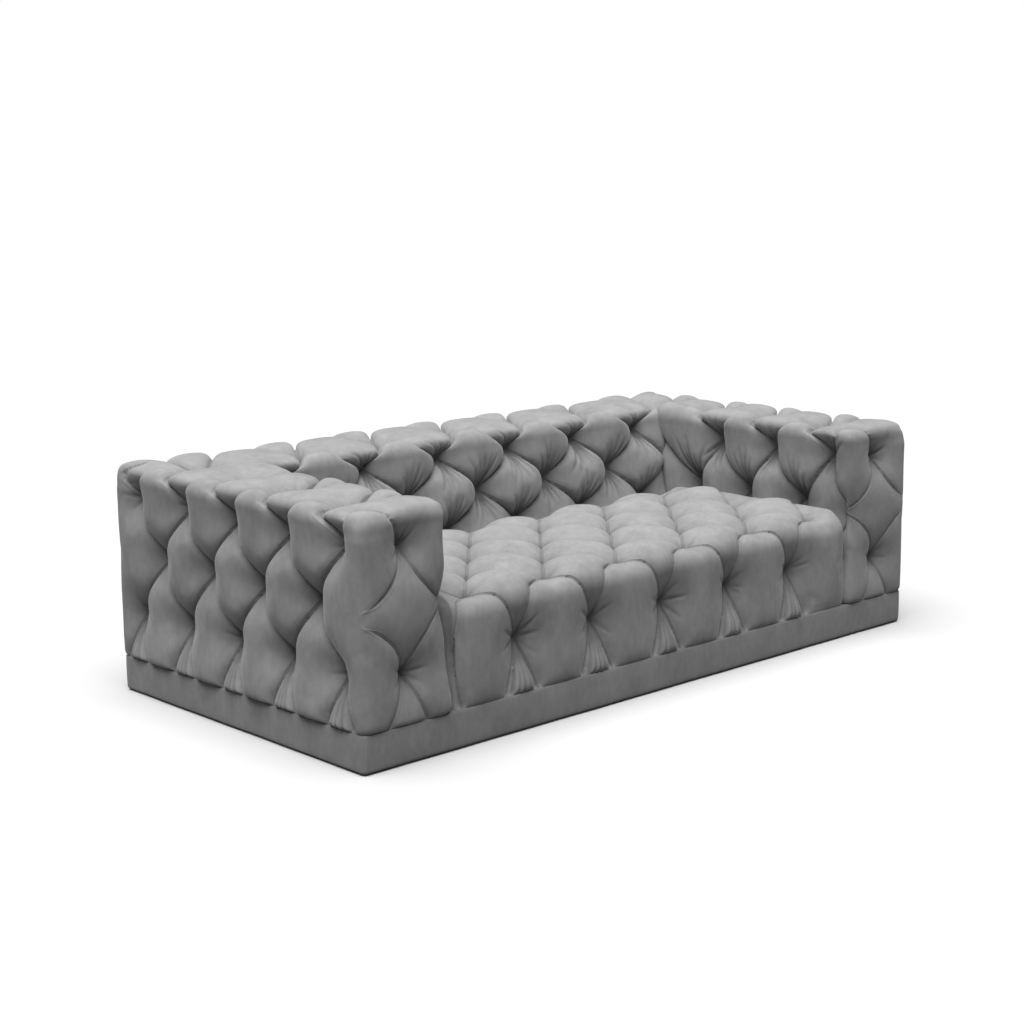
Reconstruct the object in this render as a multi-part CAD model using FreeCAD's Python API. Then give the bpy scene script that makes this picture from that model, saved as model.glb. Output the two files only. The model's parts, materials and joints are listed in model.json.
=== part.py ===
import FreeCAD, Part
import math
import os
from collections import namedtuple

# Three-seater sofa, diamond tufted, on a plain plinth. Millimetres.
# X runs along the width, -Y is the front, Z is up, and the origin is on the floor at the middle.

V = FreeCAD.Vector

# Outer form
WIDTH = 2300.0
DEPTH = 1130.0
HEIGHT = 668.0
ARM_WIDTH = 300.0
BACK_RAKE = 10.0  # degrees, inner face of the back
BACK_TOP_WIDTH = 300.0
SEAT_HEIGHT = 423.0
SEAT_SETBACK = 5.0  # seat front behind the arm fronts
SEAT_SIDE_GAP = 4.0

# Plinth
PLINTH_BASE = 8.0
PLINTH_TOP = 108.0
WRAP = 10.0
WRAP_CORNER = 9.0
RAIL = 25.0
DECK = 16.0
DUST_COVER = 1.0
DUST_COVER_INSET = 8.0
CORNER_BLOCK = 70.0
CROSS_RAIL_SPACING = 560.0

# Pads and tufting
PAD = 62.0
SEAT_PAD = 113.0
EDGE_ROUND = 38.0
SEAT_EDGE_ROUND = 30.0
ARM_TUFT_SPACING = 237.0
BACK_TUFT_SPACING = 299.5
SEAT_TUFT_SPACING = 293.0
UPPER_TUFT_Z = 586.0
SIDE_ROW_STEP = 165.0
BACK_UPPER_TUFT_Z = 614.0
BACK_ROW_STEP = 115.0
SEAT_FRONT_TUFT_Z = 258.0
SEAT_FRONT_ROW_STEP = 250.0
SEAT_FIRST_ROW = 85.0  # behind the seat front
SEAT_ROW_STEP = 155.0
TOP_ROW_STEP = 299.0
WALL_TUFT_DEPTH = 42.0
FRONT_TUFT_DEPTH = 34.0
SEAT_TUFT_DEPTH = 28.0
SCALLOP_STEPS = 6

# Boards, springs and fastenings
BOARD = 22.0
RIB_OPENING = 90.0
BACK_BOX = 183.0  # depth of the back's end frame
SKIN = 4.0
SEAT_RAIL = 26.0
SEAT_RAIL_TOP = 300.0
SPRING_COUNT = 7
SPRING_SPACING = 225.0
SPRING_WIRE = 4.0
SPRING_WAVE = 50.0
SPRING_PITCH = 38.0
CLIP_WIDTH = 30.0
CLIP_SHEET = 2.0
SPRING_COVER = 1.5
STRAP_COUNT = 8
STRAP_WIDTH = 70.0
STRAP_SPACING = 208.0
STRAP = 1.5
STRAP_END = 5.0
GLIDE_RADIUS = 11.5
GLIDE_SIDES = 12
GLIDE_SPACING = 730.0
BOLT_RADIUS = 4.0
BOLT_LENGTH = 52.0
BOLT_HEAD = 5.3
BOLT_SIDES = 8
BOLT_HEX = 7.5  # corner radius of the hexagonal head
NUT_HEX = 11.0
NUT = 3.0
CLEARANCE = 0.3
BRACKET_LEG = 45.0
BRACKET_SHEET = 2.5
BRACKET_WIDTH = 32.0
BRACKET_SPACING = 690.0

# Levels and planes that the pieces share
SIDE = WIDTH / 2
FRONT = -DEPTH / 2
REAR = DEPTH / 2
ARM_INSIDE = SIDE - ARM_WIDTH
CORE_SIDE = SIDE - PAD
CORE_INSIDE = ARM_INSIDE + PAD
CORE_FRONT = FRONT + PAD
CORE_REAR = REAR - PAD
CORE_TOP = HEIGHT - PAD
BOARD_TOP = CORE_TOP - BOARD
BASE_TOP = PLINTH_TOP + BOARD
RAKE_RATIO = math.tan(math.radians(BACK_RAKE))
ARM_CORE_END = CORE_REAR - BACK_BOX
SEAT_SIDE = ARM_INSIDE - SEAT_SIDE_GAP
SEAT_FRONT = FRONT + SEAT_SETBACK
SEAT_CORE_FRONT = SEAT_FRONT + PAD
SEAT_BASE = SEAT_HEIGHT - SEAT_PAD
SEAT_FRAME_SIDE = SEAT_SIDE - 6.0
DECK_BASE = PLINTH_TOP - DECK
RAIL_BASE = PLINTH_BASE + 2.0


def back_face(z):
    """The Y of the inner back's crown plane at a height."""
    return REAR - BACK_TOP_WIDTH - (HEIGHT - z) * RAKE_RATIO


def back_core(z):
    """The Y of the plane behind the inner back pad at a height."""
    return REAR - BACK_TOP_WIDTH + PAD - (CORE_TOP - z) * RAKE_RATIO


SEAT_FRAME_REAR = back_face(PLINTH_TOP) - 6.0


def board(x, y, z):
    """A square-edged board between pairs of limits."""
    size = [limits[1] - limits[0] for limits in (x, y, z)]
    return Part.makeBox(*size, V(x[0], y[0], z[0]))


def other_side(shape):
    """The same shape on the right-hand side."""
    return shape.mirror(V(0, 0, 0), V(1, 0, 0))


def polygon(points):
    return Part.makePolygon(points + points[:1])


def prism(points, along):
    return Part.Face(polygon(points)).extrude(along)


def mitred(outer, inner):
    """A pad between two flat outlines, its borders mitred from one to the other."""
    return Part.makeLoft([polygon(outer), polygon(inner)], True, True)


def save(name, *solids):
    shape = solids[0] if len(solids) == 1 else Part.makeCompound(list(solids))
    shape.exportStep(f"parts/{name}.step")


# A tufted face: a point on its crown plane, its two directions, its outward direction, one tuft's
# place along those directions, the spacing in a row, the step between rows, and the sewn depth.
TuftGrid = namedtuple("TuftGrid", "point across up outward tuft spacing row_step depth")


def scalloped(grid, lean):
    """A thick sheet of round-backed channels that all run along one diagonal of the tufting."""
    reach = WIDTH
    angle = math.atan2(lean * grid.row_step, grid.spacing / 2)
    along = grid.across * math.cos(angle) + grid.up * math.sin(angle)
    square = grid.up * math.cos(angle) - grid.across * math.sin(angle)
    pitch = grid.spacing * abs(math.sin(angle))
    radius = pitch**2 / (8 * grid.depth) + grid.depth / 2
    half_angle = math.asin(pitch / 2 / radius)
    first_tuft = grid.tuft[1] * math.cos(angle) - grid.tuft[0] * math.sin(angle)
    count = math.ceil(reach / pitch)
    start = grid.point - along * reach
    profile = []
    for channel in range(-count, count):
        crown = first_tuft + (channel + 0.5) * pitch
        for step in range(SCALLOP_STEPS):
            turn = half_angle * (2 * step / SCALLOP_STEPS - 1)
            rise = radius * (math.cos(turn) - 1)
            profile.append(start + square * (crown + radius * math.sin(turn)) + grid.outward * rise)
    seam = first_tuft + count * pitch
    floor = grid.outward * -2 * SEAT_PAD
    profile.append(start + square * seam - grid.outward * grid.depth)
    profile.append(start + square * seam + floor)
    profile.append(start + square * (seam - 2 * count * pitch) + floor)
    return prism(profile, along * 2 * reach)


def tufted(pad, grid):
    """The pad with its sewn diamonds: what is left under both families of channels."""
    for lean in (1, -1):
        pad = pad.common(scalloped(grid, lean))
    return pad.Solids[0]


def rounded(block, radius, is_edge):
    """The block with the chosen edges rounded."""
    return block.makeFillet(radius, [edge for edge in block.Edges if is_edge(edge.BoundBox)])


def bar(place, axis, corner_radius, length, sides):
    """A bar of regular section: bolt heads and shanks, nuts, glides and the holes for them."""
    turn = FreeCAD.Rotation(V(0, 0, 1), axis)
    corners = []
    for corner in range(sides):
        angle = 2 * math.pi * corner / sides
        spoke = V(corner_radius * math.cos(angle), corner_radius * math.sin(angle), 0)
        corners.append(place + turn.multVec(spoke))
    return prism(corners, axis * length)


def bolt(place, axis):
    """A hexagon bolt whose head sits against the given place."""
    head = bar(place - axis * BOLT_HEAD, axis, BOLT_HEX, BOLT_HEAD, 6)
    return head.fuse(bar(place, axis, BOLT_RADIUS, BOLT_LENGTH, BOLT_SIDES))


def bolt_hole(place, axis):
    """The hole that a bolt goes through, with a little room."""
    return bar(place, axis, BOLT_RADIUS + CLEARANCE, BOLT_LENGTH, BOLT_SIDES)


def nut(place, axis):
    """A flanged nut that starts at the given place."""
    return bar(place, axis, NUT_HEX, NUT, 6).cut(bolt_hole(place, axis))


# Where the bolts go: up through the deck into arms and back, and back through the arms' rear boards
UP = V(0, 0, 1)
BACKWARD = V(0, 1, 0)
ARM_MIDDLE = SIDE - ARM_WIDTH / 2
arm_bolt_places = [V(side * ARM_MIDDLE, y, DECK_BASE) for side in (-1, 1) for y in (-360.0, 180.0)]
back_bolt_places = [V(x, 370.0, DECK_BASE) for x in (-600.0, 600.0)]
rear_bolt_places = [
    V(side * ARM_MIDDLE, ARM_CORE_END - BOARD, z) for side in (-1, 1) for z in (220.0, 480.0)
]
deck_bolt_places = arm_bolt_places + back_bolt_places
glide_places = [
    V((column - 1.5) * GLIDE_SPACING, side * (REAR - WRAP - RAIL / 2), 0)
    for column in range(4)
    for side in (-1, 1)
]


def plinth():
    """The plinth frame, its deck, velvet band, dust cover and glides."""
    rail_z = (RAIL_BASE, DECK_BASE)
    outside = SIDE - WRAP
    end = REAR - WRAP
    front_rail = board((-outside, outside), (-end, RAIL - end), rail_z)
    save("plinth_front_rail", front_rail)
    save("plinth_back_rail", front_rail.translated(V(0, 2 * end - RAIL, 0)))
    left_rail = board((-outside, RAIL - outside), (RAIL - end, end - RAIL), rail_z)
    save("plinth_left_rail", left_rail)
    save("plinth_right_rail", other_side(left_rail))
    cross_rail = board((-RAIL / 2, RAIL / 2), (RAIL - end, end - RAIL), rail_z)
    save("plinth_cross_rails", *[cross_rail.translated(V(i * CROSS_RAIL_SPACING, 0, 0)) for i in (-1, 0, 1)])

    blocks = []
    for x_side in (-1, 1):
        for y_side in (-1, 1):
            corner = V(x_side * (outside - RAIL), y_side * (end - RAIL), RAIL_BASE)
            legs = [corner, corner - V(x_side * CORNER_BLOCK, 0, 0), corner - V(0, y_side * CORNER_BLOCK, 0)]
            blocks.append(prism(legs, UP * (DECK_BASE - RAIL_BASE)))
    save("plinth_corner_blocks", *blocks)

    deck = board((-outside, outside), (-end, end), (DECK_BASE, PLINTH_TOP))
    save("plinth_deck", deck.cut([bolt_hole(place, UP) for place in deck_bolt_places]))
    cover_x = outside - DUST_COVER_INSET
    cover_y = end - DUST_COVER_INSET
    cover_z = (RAIL_BASE - DUST_COVER, RAIL_BASE)
    save("dust_cover", board((-cover_x, cover_x), (-cover_y, cover_y), cover_z))

    glide_height = RAIL_BASE - DUST_COVER
    save("glides", *[bar(place, UP, GLIDE_RADIUS, glide_height, GLIDE_SIDES) for place in glide_places])

    block = board((-SIDE, SIDE), (FRONT, REAR), (PLINTH_BASE, PLINTH_TOP))
    block = rounded(block, WRAP_CORNER, lambda box: box.ZMin < PLINTH_BASE + 1)
    front = mitred(
        [V(-SIDE, FRONT, PLINTH_BASE), V(SIDE, FRONT, PLINTH_BASE), V(SIDE, FRONT, PLINTH_TOP),
         V(-SIDE, FRONT, PLINTH_TOP)],
        [V(-outside, -end, PLINTH_BASE), V(outside, -end, PLINTH_BASE), V(outside, -end, PLINTH_TOP),
         V(-outside, -end, PLINTH_TOP)],
    ).common(block)
    left = mitred(
        [V(-SIDE, FRONT, PLINTH_BASE), V(-SIDE, REAR, PLINTH_BASE), V(-SIDE, REAR, PLINTH_TOP),
         V(-SIDE, FRONT, PLINTH_TOP)],
        [V(-outside, -end, PLINTH_BASE), V(-outside, end, PLINTH_BASE), V(-outside, end, PLINTH_TOP),
         V(-outside, -end, PLINTH_TOP)],
    ).common(block)
    save("plinth_band_front", front)
    save("plinth_band_back", front.mirror(V(0, 0, 0), V(0, 1, 0)))
    save("plinth_band_left", left)
    save("plinth_band_right", other_side(left))


def arm_frame(arm):
    """The left arm's boards and skins, as a dictionary of names and solids."""
    x = (-CORE_SIDE, -CORE_INSIDE)
    between = (SKIN - CORE_SIDE, -SKIN - CORE_INSIDE)
    y = (CORE_FRONT, ARM_CORE_END)
    z = (BASE_TOP, BOARD_TOP)
    upright = board(between, (CORE_FRONT, CORE_FRONT + BOARD), z)
    bolt_holes = [bolt_hole(place, UP) for place in arm_bolt_places]
    rear_holes = [bolt_hole(place, BACKWARD) for place in rear_bolt_places]
    middle = (between[0] + between[1]) / 2
    opening = board(
        (middle - RIB_OPENING / 2, middle + RIB_OPENING / 2),
        (CORE_FRONT, CORE_FRONT + BOARD),
        (BASE_TOP + RIB_OPENING, BOARD_TOP - RIB_OPENING),
    )
    rib = upright.cut(opening)
    rib_step = (ARM_CORE_END - CORE_FRONT - BOARD) / 3
    arm["base_board"] = board(x, y, (PLINTH_TOP, BASE_TOP)).cut(bolt_holes)
    arm["top_board"] = board(x, (CORE_FRONT, back_core(CORE_TOP)), (BOARD_TOP, CORE_TOP))
    arm["front_board"] = upright
    arm["rear_board"] = upright.translated(V(0, 3 * rib_step, 0)).cut(rear_holes)
    arm["ribs"] = Part.makeCompound([rib.translated(V(0, i * rib_step, 0)) for i in (1, 2)])
    arm["outer_skin"] = board((-CORE_SIDE, SKIN - CORE_SIDE), (CORE_FRONT, CORE_REAR - SKIN), z)
    arm["inner_skin"] = board((-SKIN - CORE_INSIDE, -CORE_INSIDE), y, z)


def arm_pads(arm):
    """The left arm's four tufted pads, mitred where they meet."""
    block = board((-SIDE, -ARM_INSIDE), (FRONT, REAR), (PLINTH_TOP, HEIGHT))
    block = rounded(
        block,
        EDGE_ROUND,
        lambda box: box.ZMin > HEIGHT - 1 or (box.ZLength > 1 and (box.YMax < 0 or box.XMin < -SIDE + 1)),
    )
    bottom = PLINTH_TOP
    outer = mitred(
        [V(-SIDE, FRONT, bottom), V(-SIDE, REAR, bottom), V(-SIDE, REAR, HEIGHT), V(-SIDE, FRONT, HEIGHT)],
        [V(-CORE_SIDE, CORE_FRONT, bottom), V(-CORE_SIDE, CORE_REAR, bottom),
         V(-CORE_SIDE, CORE_REAR, CORE_TOP), V(-CORE_SIDE, CORE_FRONT, CORE_TOP)],
    )
    inner = mitred(
        [V(-ARM_INSIDE, FRONT, bottom), V(-ARM_INSIDE, back_face(bottom), bottom),
         V(-ARM_INSIDE, back_face(HEIGHT), HEIGHT), V(-ARM_INSIDE, FRONT, HEIGHT)],
        [V(-CORE_INSIDE, CORE_FRONT, bottom), V(-CORE_INSIDE, back_core(bottom), bottom),
         V(-CORE_INSIDE, back_core(CORE_TOP), CORE_TOP), V(-CORE_INSIDE, CORE_FRONT, CORE_TOP)],
    )
    front = mitred(
        [V(-SIDE, FRONT, bottom), V(-ARM_INSIDE, FRONT, bottom), V(-ARM_INSIDE, FRONT, HEIGHT),
         V(-SIDE, FRONT, HEIGHT)],
        [V(-CORE_SIDE, CORE_FRONT, bottom), V(-CORE_INSIDE, CORE_FRONT, bottom),
         V(-CORE_INSIDE, CORE_FRONT, CORE_TOP), V(-CORE_SIDE, CORE_FRONT, CORE_TOP)],
    )
    top = mitred(
        [V(-SIDE, FRONT, HEIGHT), V(-ARM_INSIDE, FRONT, HEIGHT), V(-ARM_INSIDE, back_face(HEIGHT), HEIGHT),
         V(-SIDE, REAR, HEIGHT)],
        [V(-CORE_SIDE, CORE_FRONT, CORE_TOP), V(-CORE_INSIDE, CORE_FRONT, CORE_TOP),
         V(-CORE_INSIDE, back_core(CORE_TOP), CORE_TOP), V(-CORE_SIDE, CORE_REAR, CORE_TOP)],
    )
    depth = WALL_TUFT_DEPTH
    side_tuft = (0, UPPER_TUFT_Z)
    outer_grid = TuftGrid(
        V(-SIDE, 0, 0), BACKWARD, UP, V(-1, 0, 0), side_tuft, ARM_TUFT_SPACING, SIDE_ROW_STEP, depth)
    inner_grid = TuftGrid(
        V(-ARM_INSIDE, 0, 0), BACKWARD, UP, V(1, 0, 0), side_tuft, ARM_TUFT_SPACING, SIDE_ROW_STEP, depth)
    front_grid = TuftGrid(
        V(-ARM_MIDDLE, FRONT, 0), V(1, 0, 0), UP, -BACKWARD, side_tuft, ARM_WIDTH, SIDE_ROW_STEP,
        FRONT_TUFT_DEPTH)
    top_grid = TuftGrid(
        V(-ARM_MIDDLE, 0, HEIGHT), BACKWARD, V(1, 0, 0), UP, (ARM_TUFT_SPACING / 2, 0), ARM_TUFT_SPACING,
        TOP_ROW_STEP, depth)
    arm["outer_pad"] = tufted(outer.common(block), outer_grid)
    arm["inner_pad"] = tufted(inner.common(block), inner_grid)
    arm["front_pad"] = tufted(front.common(block), front_grid)
    arm["top_pad"] = tufted(top.common(block), top_grid)


def arms():
    """Both arms: the left one is modelled and the right one is its mirror image."""
    arm = {}
    arm_frame(arm)
    arm_pads(arm)
    for piece, shape in arm.items():
        save(f"left_arm_{piece}", shape)
        save(f"right_arm_{piece}", other_side(shape))


def back_frame():
    """The back's boards, ribs, skin and webbing, between and behind the arms."""
    inside = CORE_INSIDE - 2
    rib_front = SKIN
    base_y = (back_core(BASE_TOP) + rib_front, CORE_REAR - SKIN)
    base = board((-inside, inside), base_y, (PLINTH_TOP, BASE_TOP))
    save("back_base_board", base.cut([bolt_hole(place, UP) for place in back_bolt_places]))
    save("back_top_board", board((-CORE_SIDE, CORE_SIDE), (back_core(CORE_TOP) + rib_front, CORE_REAR),
                                 (BOARD_TOP, CORE_TOP)))
    rib_outline = [
        V(-BOARD / 2, back_core(BASE_TOP) + rib_front, BASE_TOP),
        V(-BOARD / 2, CORE_REAR - SKIN, BASE_TOP),
        V(-BOARD / 2, CORE_REAR - SKIN, BOARD_TOP),
        V(-BOARD / 2, back_core(BOARD_TOP) + rib_front, BOARD_TOP),
    ]
    rib = prism(rib_outline, V(BOARD, 0, 0))
    rib_step = (2 * inside - BOARD) / 3
    save("back_ribs", *[rib.translated(V((i - 1.5) * rib_step, 0, 0)) for i in range(4)])
    end_board = board((SKIN - CORE_SIDE, -SKIN - CORE_INSIDE), (ARM_CORE_END, ARM_CORE_END + BOARD),
                      (PLINTH_TOP, BOARD_TOP))
    end_board = end_board.cut([bolt_hole(place, BACKWARD) for place in rear_bolt_places])
    save("back_end_boards", end_board, other_side(end_board))
    save("back_outer_skin", board((-CORE_SIDE, CORE_SIDE), (CORE_REAR - SKIN, CORE_REAR),
                                  (PLINTH_TOP, BOARD_TOP)))
    low = PLINTH_TOP + STRAP_END
    high = CORE_TOP - STRAP_END
    strap_outline = [
        V(-STRAP_WIDTH / 2, back_core(low) + 1, low),
        V(-STRAP_WIDTH / 2, back_core(low) + 1 + STRAP, low),
        V(-STRAP_WIDTH / 2, back_core(high) + 1 + STRAP, high),
        V(-STRAP_WIDTH / 2, back_core(high) + 1, high),
    ]
    strap = prism(strap_outline, V(STRAP_WIDTH, 0, 0))
    middle = (STRAP_COUNT - 1) / 2
    shifts = [V((i - middle) * STRAP_SPACING, 0, 0) for i in range(STRAP_COUNT)]
    save("back_webbing", *[strap.translated(shift) for shift in shifts])


def back_pads():
    """The back's three tufted pads."""
    rake = V(0, RAKE_RATIO, 1).normalize()
    low = PLINTH_TOP
    face_low = back_face(low)
    face_top = back_face(HEIGHT)
    core_low = back_core(low)
    core_top = back_core(CORE_TOP)
    block = prism([V(-SIDE, face_low, low), V(-SIDE, face_top, HEIGHT), V(-SIDE, REAR, HEIGHT),
                   V(-SIDE, REAR, low)], V(WIDTH, 0, 0))
    block = rounded(
        block,
        EDGE_ROUND,
        lambda box: box.ZMin > HEIGHT - 1 and box.XLength > 1 or box.YMin > REAR - 1 and box.ZLength > 1,
    )
    inner = mitred(
        [V(-ARM_INSIDE, face_low, low), V(ARM_INSIDE, face_low, low), V(ARM_INSIDE, face_top, HEIGHT),
         V(-ARM_INSIDE, face_top, HEIGHT)],
        [V(-CORE_INSIDE, core_low, low), V(CORE_INSIDE, core_low, low), V(CORE_INSIDE, core_top, CORE_TOP),
         V(-CORE_INSIDE, core_top, CORE_TOP)],
    )
    outer = mitred(
        [V(-SIDE, REAR, low), V(SIDE, REAR, low), V(SIDE, REAR, HEIGHT), V(-SIDE, REAR, HEIGHT)],
        [V(-CORE_SIDE, CORE_REAR, low), V(CORE_SIDE, CORE_REAR, low), V(CORE_SIDE, CORE_REAR, CORE_TOP),
         V(-CORE_SIDE, CORE_REAR, CORE_TOP)],
    )
    top = mitred(
        [V(-ARM_INSIDE, face_top, HEIGHT), V(ARM_INSIDE, face_top, HEIGHT), V(SIDE, REAR, HEIGHT),
         V(-SIDE, REAR, HEIGHT)],
        [V(-CORE_INSIDE, core_top, CORE_TOP), V(CORE_INSIDE, core_top, CORE_TOP),
         V(CORE_SIDE, CORE_REAR, CORE_TOP), V(-CORE_SIDE, CORE_REAR, CORE_TOP)],
    )
    spacing = BACK_TUFT_SPACING
    depth = WALL_TUFT_DEPTH
    rake_length = math.hypot(1, RAKE_RATIO)
    inner_grid = TuftGrid(
        V(0, back_face(0), 0), V(1, 0, 0), rake, V(0, -1, RAKE_RATIO).normalize(),
        (spacing / 2, BACK_UPPER_TUFT_Z * rake_length), spacing, BACK_ROW_STEP * rake_length, depth)
    outer_grid = TuftGrid(
        V(0, REAR, 0), V(1, 0, 0), UP, BACKWARD, (spacing / 2, UPPER_TUFT_Z), spacing, SIDE_ROW_STEP, depth)
    top_grid = TuftGrid(
        V(0, REAR - BACK_TOP_WIDTH / 2, HEIGHT), V(1, 0, 0), BACKWARD, UP, (0, 0), spacing, TOP_ROW_STEP,
        depth)
    save("back_inner_pad", tufted(inner.common(block), inner_grid))
    save("back_outer_pad", tufted(outer.common(block), outer_grid))
    save("back_top_pad", tufted(top.common(block), top_grid))


def seat_frame():
    """The seat's rails, zigzag springs, clips, spring cover and brackets."""
    side = SEAT_FRAME_SIDE
    front = SEAT_CORE_FRONT + 2
    z = (PLINTH_TOP, SEAT_RAIL_TOP)
    front_rail = board((-side, side), (front, front + SEAT_RAIL), z)
    back_shift = V(0, SEAT_FRAME_REAR - SEAT_RAIL - front, 0)
    inner_y = (front + SEAT_RAIL, SEAT_FRAME_REAR - SEAT_RAIL)
    left_rail = board((-side, SEAT_RAIL - side), inner_y, z)
    middle_rail = board((-SEAT_RAIL / 2, SEAT_RAIL / 2), inner_y, (PLINTH_TOP, SEAT_RAIL_TOP - 60))
    save("seat_front_rail", front_rail)
    save("seat_back_rail", front_rail.translated(back_shift))
    save("seat_left_rail", left_rail)
    save("seat_right_rail", other_side(left_rail))
    save("seat_middle_rails", *[middle_rail.translated(V(x * side / 3, 0, 0)) for x in (-1, 1)])

    start = front + SEAT_RAIL / 2
    end = SEAT_FRAME_REAR - SEAT_RAIL / 2
    waves = int((end - start) / SPRING_PITCH)
    pitch = (end - start) / waves
    spine = []
    for wave in range(waves + 1):
        sign = 1 if wave % 2 == 0 else -1
        spine.append(V(-sign * SPRING_WAVE / 2, start + wave * pitch, SEAT_RAIL_TOP + CLIP_SHEET))
        spine.append(V(sign * SPRING_WAVE / 2, start + wave * pitch, SEAT_RAIL_TOP + CLIP_SHEET))
    outline = Part.makePolygon(spine).makeOffset2D(SPRING_WIRE / 2, 2, False, False)
    spring = Part.Face(outline).extrude(UP * SPRING_WIRE)
    middle = (SPRING_COUNT - 1) / 2
    shifts = [V((i - middle) * SPRING_SPACING, 0, 0) for i in range(SPRING_COUNT)]
    save("seat_springs", *[spring.translated(shift) for shift in shifts])

    base = SEAT_RAIL_TOP
    top = base + CLIP_SHEET + SPRING_WIRE
    reach = SEAT_RAIL / 2
    clip = prism(
        [V(0, start - reach, base), V(0, start + reach, base), V(0, start + reach, base + CLIP_SHEET),
         V(0, start - SPRING_WIRE, base + CLIP_SHEET), V(0, start - SPRING_WIRE, top),
         V(0, start + reach, top), V(0, start + reach, top + CLIP_SHEET),
         V(0, start - reach, top + CLIP_SHEET)],
        V(CLIP_WIDTH, 0, 0),
    ).translated(V(-CLIP_WIDTH / 2, 0, 0))
    rear_clip = clip.mirror(V(0, (start + end) / 2, 0), BACKWARD)
    save("spring_clips", *[shape.translated(shift) for shift in shifts for shape in (clip, rear_clip)])
    cover_z = (SEAT_BASE - SPRING_COVER, SEAT_BASE)
    save("spring_cover", board((-side, side), (front, SEAT_FRAME_REAR), cover_z))

    leg = BRACKET_LEG
    sheet = BRACKET_SHEET
    y = inner_y[0]
    corner = [(0, 0), (leg, 0), (leg, sheet), (sheet, sheet), (sheet, leg), (0, leg)]
    bracket = prism([V(0, y + a, PLINTH_TOP + b) for a, b in corner], V(BRACKET_WIDTH, 0, 0))
    rear_bracket = bracket.mirror(V(0, sum(inner_y) / 2, 0), BACKWARD)
    pair = (bracket, rear_bracket)
    places = [V(x - BRACKET_WIDTH / 2, 0, 0) for x in (-BRACKET_SPACING, 0, BRACKET_SPACING)]
    save("seat_brackets", *[shape.translated(place) for place in places for shape in pair])


def seat_pads():
    """The bench seat's tufted top and front pads."""
    side = SEAT_SIDE
    gap = 2.0
    low = PLINTH_TOP
    top_rear = back_face(SEAT_HEIGHT) - gap
    block = board((-side, side), (SEAT_FRONT, top_rear), (low, SEAT_HEIGHT))
    block = rounded(
        block,
        SEAT_EDGE_ROUND,
        lambda box: box.YMin < SEAT_FRONT + 1 and box.ZMax > low + 1
        or box.ZMin > SEAT_HEIGHT - 1 and box.YLength > 1,
    )
    top = mitred(
        [V(-side, SEAT_FRONT, SEAT_HEIGHT), V(side, SEAT_FRONT, SEAT_HEIGHT), V(side, top_rear, SEAT_HEIGHT),
         V(-side, top_rear, SEAT_HEIGHT)],
        [V(-side, SEAT_CORE_FRONT, SEAT_BASE), V(side, SEAT_CORE_FRONT, SEAT_BASE),
         V(side, back_face(SEAT_BASE) - gap, SEAT_BASE), V(-side, back_face(SEAT_BASE) - gap, SEAT_BASE)],
    )
    front = mitred(
        [V(-side, SEAT_FRONT, low), V(side, SEAT_FRONT, low), V(side, SEAT_FRONT, SEAT_HEIGHT),
         V(-side, SEAT_FRONT, SEAT_HEIGHT)],
        [V(-side, SEAT_CORE_FRONT, low), V(side, SEAT_CORE_FRONT, low), V(side, SEAT_CORE_FRONT, SEAT_BASE),
         V(-side, SEAT_CORE_FRONT, SEAT_BASE)],
    )
    spacing = SEAT_TUFT_SPACING
    top_grid = TuftGrid(
        V(0, SEAT_FRONT, SEAT_HEIGHT), V(1, 0, 0), BACKWARD, UP, (spacing / 2, SEAT_FIRST_ROW), spacing,
        SEAT_ROW_STEP, SEAT_TUFT_DEPTH)
    front_grid = TuftGrid(
        V(0, SEAT_FRONT, 0), V(1, 0, 0), UP, -BACKWARD, (0, SEAT_FRONT_TUFT_Z), spacing, SEAT_FRONT_ROW_STEP,
        FRONT_TUFT_DEPTH)
    save("seat_top_pad", tufted(top.common(block), top_grid))
    save("seat_front_pad", tufted(front.common(block), front_grid))


def fastenings():
    """The bolts that join arms, back and plinth, with their nuts."""
    upright = [bolt(place, UP) for place in deck_bolt_places]
    lying = [bolt(place, BACKWARD) for place in rear_bolt_places]
    save("frame_bolts", *upright, *lying)
    upright_nuts = [nut(place + UP * (DECK + BOARD), UP) for place in deck_bolt_places]
    lying_nuts = [nut(place + BACKWARD * 2 * BOARD, BACKWARD) for place in rear_bolt_places]
    save("frame_nuts", *upright_nuts, *lying_nuts)


os.makedirs("parts", exist_ok=True)
plinth()
seat_frame()
seat_pads()
arms()
back_frame()
back_pads()
fastenings()
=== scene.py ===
"""Dressed model of a deep-tufted three-seater sofa on a plain plinth, in metres, Z up, front at -Y."""

import json
import logging
import math
from dataclasses import dataclass, field, replace
from enum import Enum

import bpy
import numpy as np
from bpy.types import Material, Mesh, Node, NodeSocket, NodeTree, Object
from mathutils import Matrix, Vector
from mathutils.kdtree import KDTree

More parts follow.
